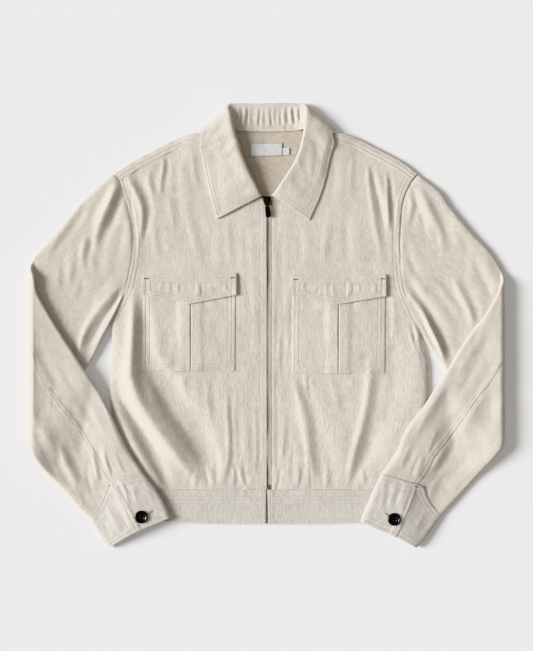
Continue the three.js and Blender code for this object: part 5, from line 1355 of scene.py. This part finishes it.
tape_cloth = canvas("zip_tape", (0.60, 0.545, 0.47), 0.02)
for side in ("right", "left"):
    y = np.linspace(-270, 204, 130)[:, None]
    opening = 0.4 + 0.7 * np.exp(-((y - 80) / 26) ** 2) + 0.5 * np.exp(-((y + 60) / 30) ** 2)
    u = np.concatenate([[0, 0.4, 0.9, 1.5], np.linspace(2.4, 11.4, 10)])[None, :] + opening
    low = front_height(side, u, y) - CLOTH / 2 - 0.4 - 0.6 - 0.5
    if side == "left":
        low = low + 0.9 * smooth((9.5 - u) / 2) + 0.35 * np.exp(-((u - 1.1) / 0.7) ** 2)
        low = low + 0.12 * lattice(u / 2 + 9, y / 2.6 + 9, 190)
    points = np.stack([u * SIGN[side], y + 0 * u, low], -1)
    tape = cloth("zip_tape_" + side, points, 0.9, tape_cloth, ["zip_tape_" + side])

coil = plain("black_coil", (0.012, 0.011, 0.010), 0.35)
bm = bmesh.new()
for k in range(248):
    y = -270 + k * 1.9
    for side in ("right", "left"):
        height = 4.1 if y > -262 else 3.9
        shape = Matrix(((1.25e-3, 0, 0), (0, 0.62e-3, 0), (0, 0, 0.75e-3))).to_4x4()
        spot = np.array([SIGN[side] * 0.35, y + (0.95 if side == "left" else 0), height]) + ORIGIN
        shape.translation = Vector(spot * 0.001)
        bmesh.ops.create_icosphere(bm, subdivisions=1, radius=1, matrix=shape)
for f in bm.faces:
    f.smooth = True
mesh = bpy.data.meshes.new("zip_coil")
bm.to_mesh(mesh)
bm.free()
zip_coil = bpy.data.objects.new("zip_coil", mesh)
bpy.context.scene.collection.objects.link(zip_coil)
mesh.materials.append(coil)
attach(zip_coil, "jacket")


def stamped(name, outline, low, high, bevel, material, turn=None, slot_out=None):
    """A plate cut to an outline, u and y, with rounded edges, between two heights."""
    bm = bmesh.new()
    verts = [bm.verts.new((x, y, low)) for x, y in outline]
    loops = [bm.edges.new((verts[k], verts[(k + 1) % len(verts)])) for k in range(len(verts))]
    if slot_out:
        hole = [bm.verts.new((x, y, low)) for x, y in slot_out]
        loops += [bm.edges.new((hole[k], hole[(k + 1) % len(hole)])) for k in range(len(hole))]
    bmesh.ops.triangle_fill(bm, use_beauty=True, use_dissolve=False, edges=loops, normal=(0, 0, 1))
    made = bmesh.ops.extrude_face_region(bm, geom=list(bm.faces))
    lifted = [v for v in made["geom"] if isinstance(v, bmesh.types.BMVert)]
    bmesh.ops.translate(bm, verts=lifted, vec=(0, 0, high - low))
    bmesh.ops.recalc_face_normals(bm, faces=bm.faces)
    rims = [e for e in bm.edges if len(e.link_faces) == 2 and e.calc_face_angle(0) > 1.2]
    bmesh.ops.bevel(bm, geom=rims, offset=bevel, offset_type="OFFSET", segments=3, profile=0.5,
                    affect="EDGES", material=-1, clamp_overlap=True)
    if turn is not None:
        bmesh.ops.transform(bm, matrix=turn, verts=bm.verts)
    bmesh.ops.translate(bm, verts=bm.verts, vec=Vector(ORIGIN))
    bmesh.ops.scale(bm, verts=bm.verts, vec=(0.001, 0.001, 0.001))
    for f in bm.faces:
        f.smooth = True
    mesh = bpy.data.meshes.new(name)
    bm.to_mesh(mesh)
    bm.free()
    obj = bpy.data.objects.new(name, mesh)
    bpy.context.scene.collection.objects.link(obj)
    mesh.materials.append(material)
    return obj


def lacquer():
    """Black lacquer on brass, rubbed thin here and there."""
    mat = plain("black_lacquer", (0.012, 0.011, 0.010), 0.24, 0.6, coat=0.4)
    n, link = mat.node_tree.nodes, mat.node_tree.links.new
    bsdf = n["Principled BSDF"]
    coord = n.new("ShaderNodeTexCoord")
    noise = n.new("ShaderNodeTexNoise")
    noise.inputs["Scale"].default_value = 260
    noise.inputs["Detail"].default_value = 6
    link(coord.outputs["Object"], noise.inputs["Vector"])
    ramp = n.new("ShaderNodeValToRGB")
    ramp.color_ramp.elements[0].position = 0.60
    ramp.color_ramp.elements[0].color = (0.010, 0.009, 0.008, 1)
    ramp.color_ramp.elements[1].position = 0.78
    ramp.color_ramp.elements[1].color = (0.16, 0.10, 0.05, 1)
    link(noise.outputs[0], ramp.inputs[0])
    link(ramp.outputs[0], bsdf.inputs["Base Color"])
    rough = n.new("ShaderNodeMapRange")
    rough.inputs["To Min"].default_value = 0.18
    rough.inputs["To Max"].default_value = 0.42
    link(noise.outputs[0], rough.inputs[0])
    link(rough.outputs[0], bsdf.inputs["Roughness"])
    return mat


black_lacquer = lacquer()
SLIDER_Z = 6.4
SLIDER_THICK = 2.6
half = [(5.5, 219), (7, 217), (6.6, 212), (3.6, 205), (2.6, 203.5)]
outline = half + [(-x, y) for x, y in half[::-1]]
slider = stamped("zip_slider", outline, SLIDER_Z, SLIDER_Z + SLIDER_THICK, 0.7, black_lacquer)
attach(slider, "jacket")
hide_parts("zip_slider")
bail_side = [(216, -0.5), (215.6, 2.4), (214.2, 4.2), (206.4, 4.2), (205.2, 2.6), (204.8, -0.5),
             (206.6, -0.5), (206.9, 1.9), (207.8, 2.8), (213.2, 2.8), (213.9, 1.9), (214.2, -0.5)]
stand_up = Matrix(((0, 0, 1, 0), (1, 0, 0, 0), (0, 1, 0, SLIDER_Z + SLIDER_THICK), (0, 0, 0, 1)))
bail = stamped("zip_bail", bail_side, -1.3, 1.3, 0.35, black_lacquer, stand_up)
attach(bail, "jacket")

# PULL TAB. Cast in one piece with the bar it turns on, under the slider's bail.

half = [(2.7, 0.9), (3.2, 0.4), (3.2, -6.8), (4.1, -9.0), (4.7, -22.5), (4.2, -24.7), (3.1, -26.0), (1.3, -26.5)]
outline = half + [(-x, y) for x, y in half[::-1]]
window = [(-2.2, -0.9), (2.2, -0.9), (2.2, -6.8), (-2.2, -6.8)]
lie = Matrix.Translation((0, 209.6, SLIDER_Z + SLIDER_THICK + 1.4))
lie = lie @ Matrix.Rotation(math.radians(6.5), 4, "Z") @ Matrix.Rotation(math.radians(1.6), 4, "X")
pull = stamped("zip_pull_tab", outline, -0.8, 0.8, 0.3, black_lacquer, lie, window)
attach(pull, "pull_tab")
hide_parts("zip_pull_tab")
bm = bmesh.new()
bmesh.ops.create_cone(bm, cap_ends=True, segments=20, radius1=1.1, radius2=1.1, depth=6.2,
                      matrix=lie @ Matrix.Rotation(math.pi / 2, 4, "Y"))
bmesh.ops.translate(bm, verts=bm.verts, vec=Vector(ORIGIN))
bmesh.ops.scale(bm, verts=bm.verts, vec=(0.001, 0.001, 0.001))
mesh = bpy.data.meshes.new("pull_bar")
bm.to_mesh(mesh)
bm.free()
pull_bar = bpy.data.objects.new("pull_bar", mesh)
bpy.context.scene.collection.objects.link(pull_bar)
mesh.materials.append(black_lacquer)
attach(pull_bar, "pull_tab")
ridge = [(3.4, -11.0), (3.9, -21.5), (3.3, -23.6), (2.2, -24.6), (-2.2, -24.6), (-3.3, -23.6), (-3.9, -21.5), (-3.4, -11.0)]
pull_face = stamped("pull_face", ridge, 0.7, 1.05, 0.15, black_lacquer, lie)
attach(pull_face, "pull_tab")

# LABEL AND SIZE TAB. A woven label, silver-grey with a darker selvedge, and a white tape tab beside
# it, both bare, sewn to the inside of the back below the neck seam.

label_cloth = canvas("neck_label", (0.74, 0.74, 0.72))
tab_cloth = canvas("size_tab", (0.74, 0.73, 0.71))
x = np.linspace(-28.5, 26, 60)[None, :]
y = np.linspace(287.5, 309.5, 26)[:, None]
z = BACK_Z + neck_lift(np.abs(x), y) + CLOTH / 2 + 0.9 + 0.18 * lattice(x / 9 + 9, y / 8, 201) + 0.25
points = np.stack([x + 0 * y, y + 0.02 * x, z], -1)
label = cloth("neck_label", points, 0.7, label_cloth, ["neck_label"])
rows = []
for part in ("top", "bottom", "first", "last"):
    p, n = inset(points, part, 0.6)
    rows.append((p[1:-1], n[1:-1]))
dark_thread = plain("label_thread", (0.10, 0.105, 0.10), 0.8)
label_rows = stitches("label_stitches", rows, 0.40, pitch=1.1, width=0.7, material=dark_thread)
x = np.linspace(26.6, 37.8, 16)[None, :]
y = np.linspace(289, 301, 16)[:, None]
z = BACK_Z + neck_lift(np.abs(x), y) + CLOTH / 2 + 0.9 + 0.6 * smooth((x - 30) / 8)
points = np.stack([x + 0 * y, y + 0.02 * x, z + 0 * y], -1)
tab = cloth("size_tab", points, 0.6, tab_cloth, ["size_tab"])

# FLOOR, LIGHT AND CAMERA. A pale sheet under the jacket, broad soft light from the left and
# a camera straight above.

bm = bmesh.new()
bmesh.ops.create_grid(bm, x_segments=2, y_segments=2, size=4)
bmesh.ops.translate(bm, verts=bm.verts, vec=(0, 0, -0.0004))
mesh = bpy.data.meshes.new("floor")
bm.to_mesh(mesh)
bm.free()
floor = bpy.data.objects.new("floor", mesh)
bpy.context.scene.collection.objects.link(floor)
glowing_paper = plain("glowing_paper", (0.80, 0.80, 0.80), 0.95)
# painted light: the paper glows faintly, which lifts the shadows cast on it
glowing_paper.node_tree.nodes["Principled BSDF"].inputs["Emission Color"].default_value = (1, 1, 1, 1)
glowing_paper.node_tree.nodes["Principled BSDF"].inputs["Emission Strength"].default_value = 0.10
mesh.materials.append(glowing_paper)

world = bpy.data.worlds.new("studio")
bpy.context.scene.world = world
world.use_nodes = True
world.node_tree.nodes["Background"].inputs["Color"].default_value = (1.0, 0.955, 0.90, 1)
world.node_tree.nodes["Background"].inputs["Strength"].default_value = 0.355

sun = bpy.data.lights.new("window", "SUN")
sun.energy = 5.15
sun.angle = math.radians(26)
sun.color = (0.985, 1.0, 1.03)
sun_object = bpy.data.objects.new("window", sun)
bpy.context.scene.collection.objects.link(sun_object)
towards = Vector((-0.905, 0.06, 0.42))
sun_object.rotation_euler = towards.to_track_quat("Z", "Y").to_euler()
sun_object.location = towards

lens = bpy.data.cameras.new("camera")
lens.sensor_width = 36
lens.lens = 36 * 2.5 / 1.1067
lens.clip_end = 20
bpy.context.scene.view_settings.view_transform = "Khronos PBR Neutral"
camera = bpy.data.objects.new("camera", lens)
bpy.context.scene.collection.objects.link(camera)
camera.location = (-0.0006, -0.0002, 2.5)
bpy.context.scene.camera = camera
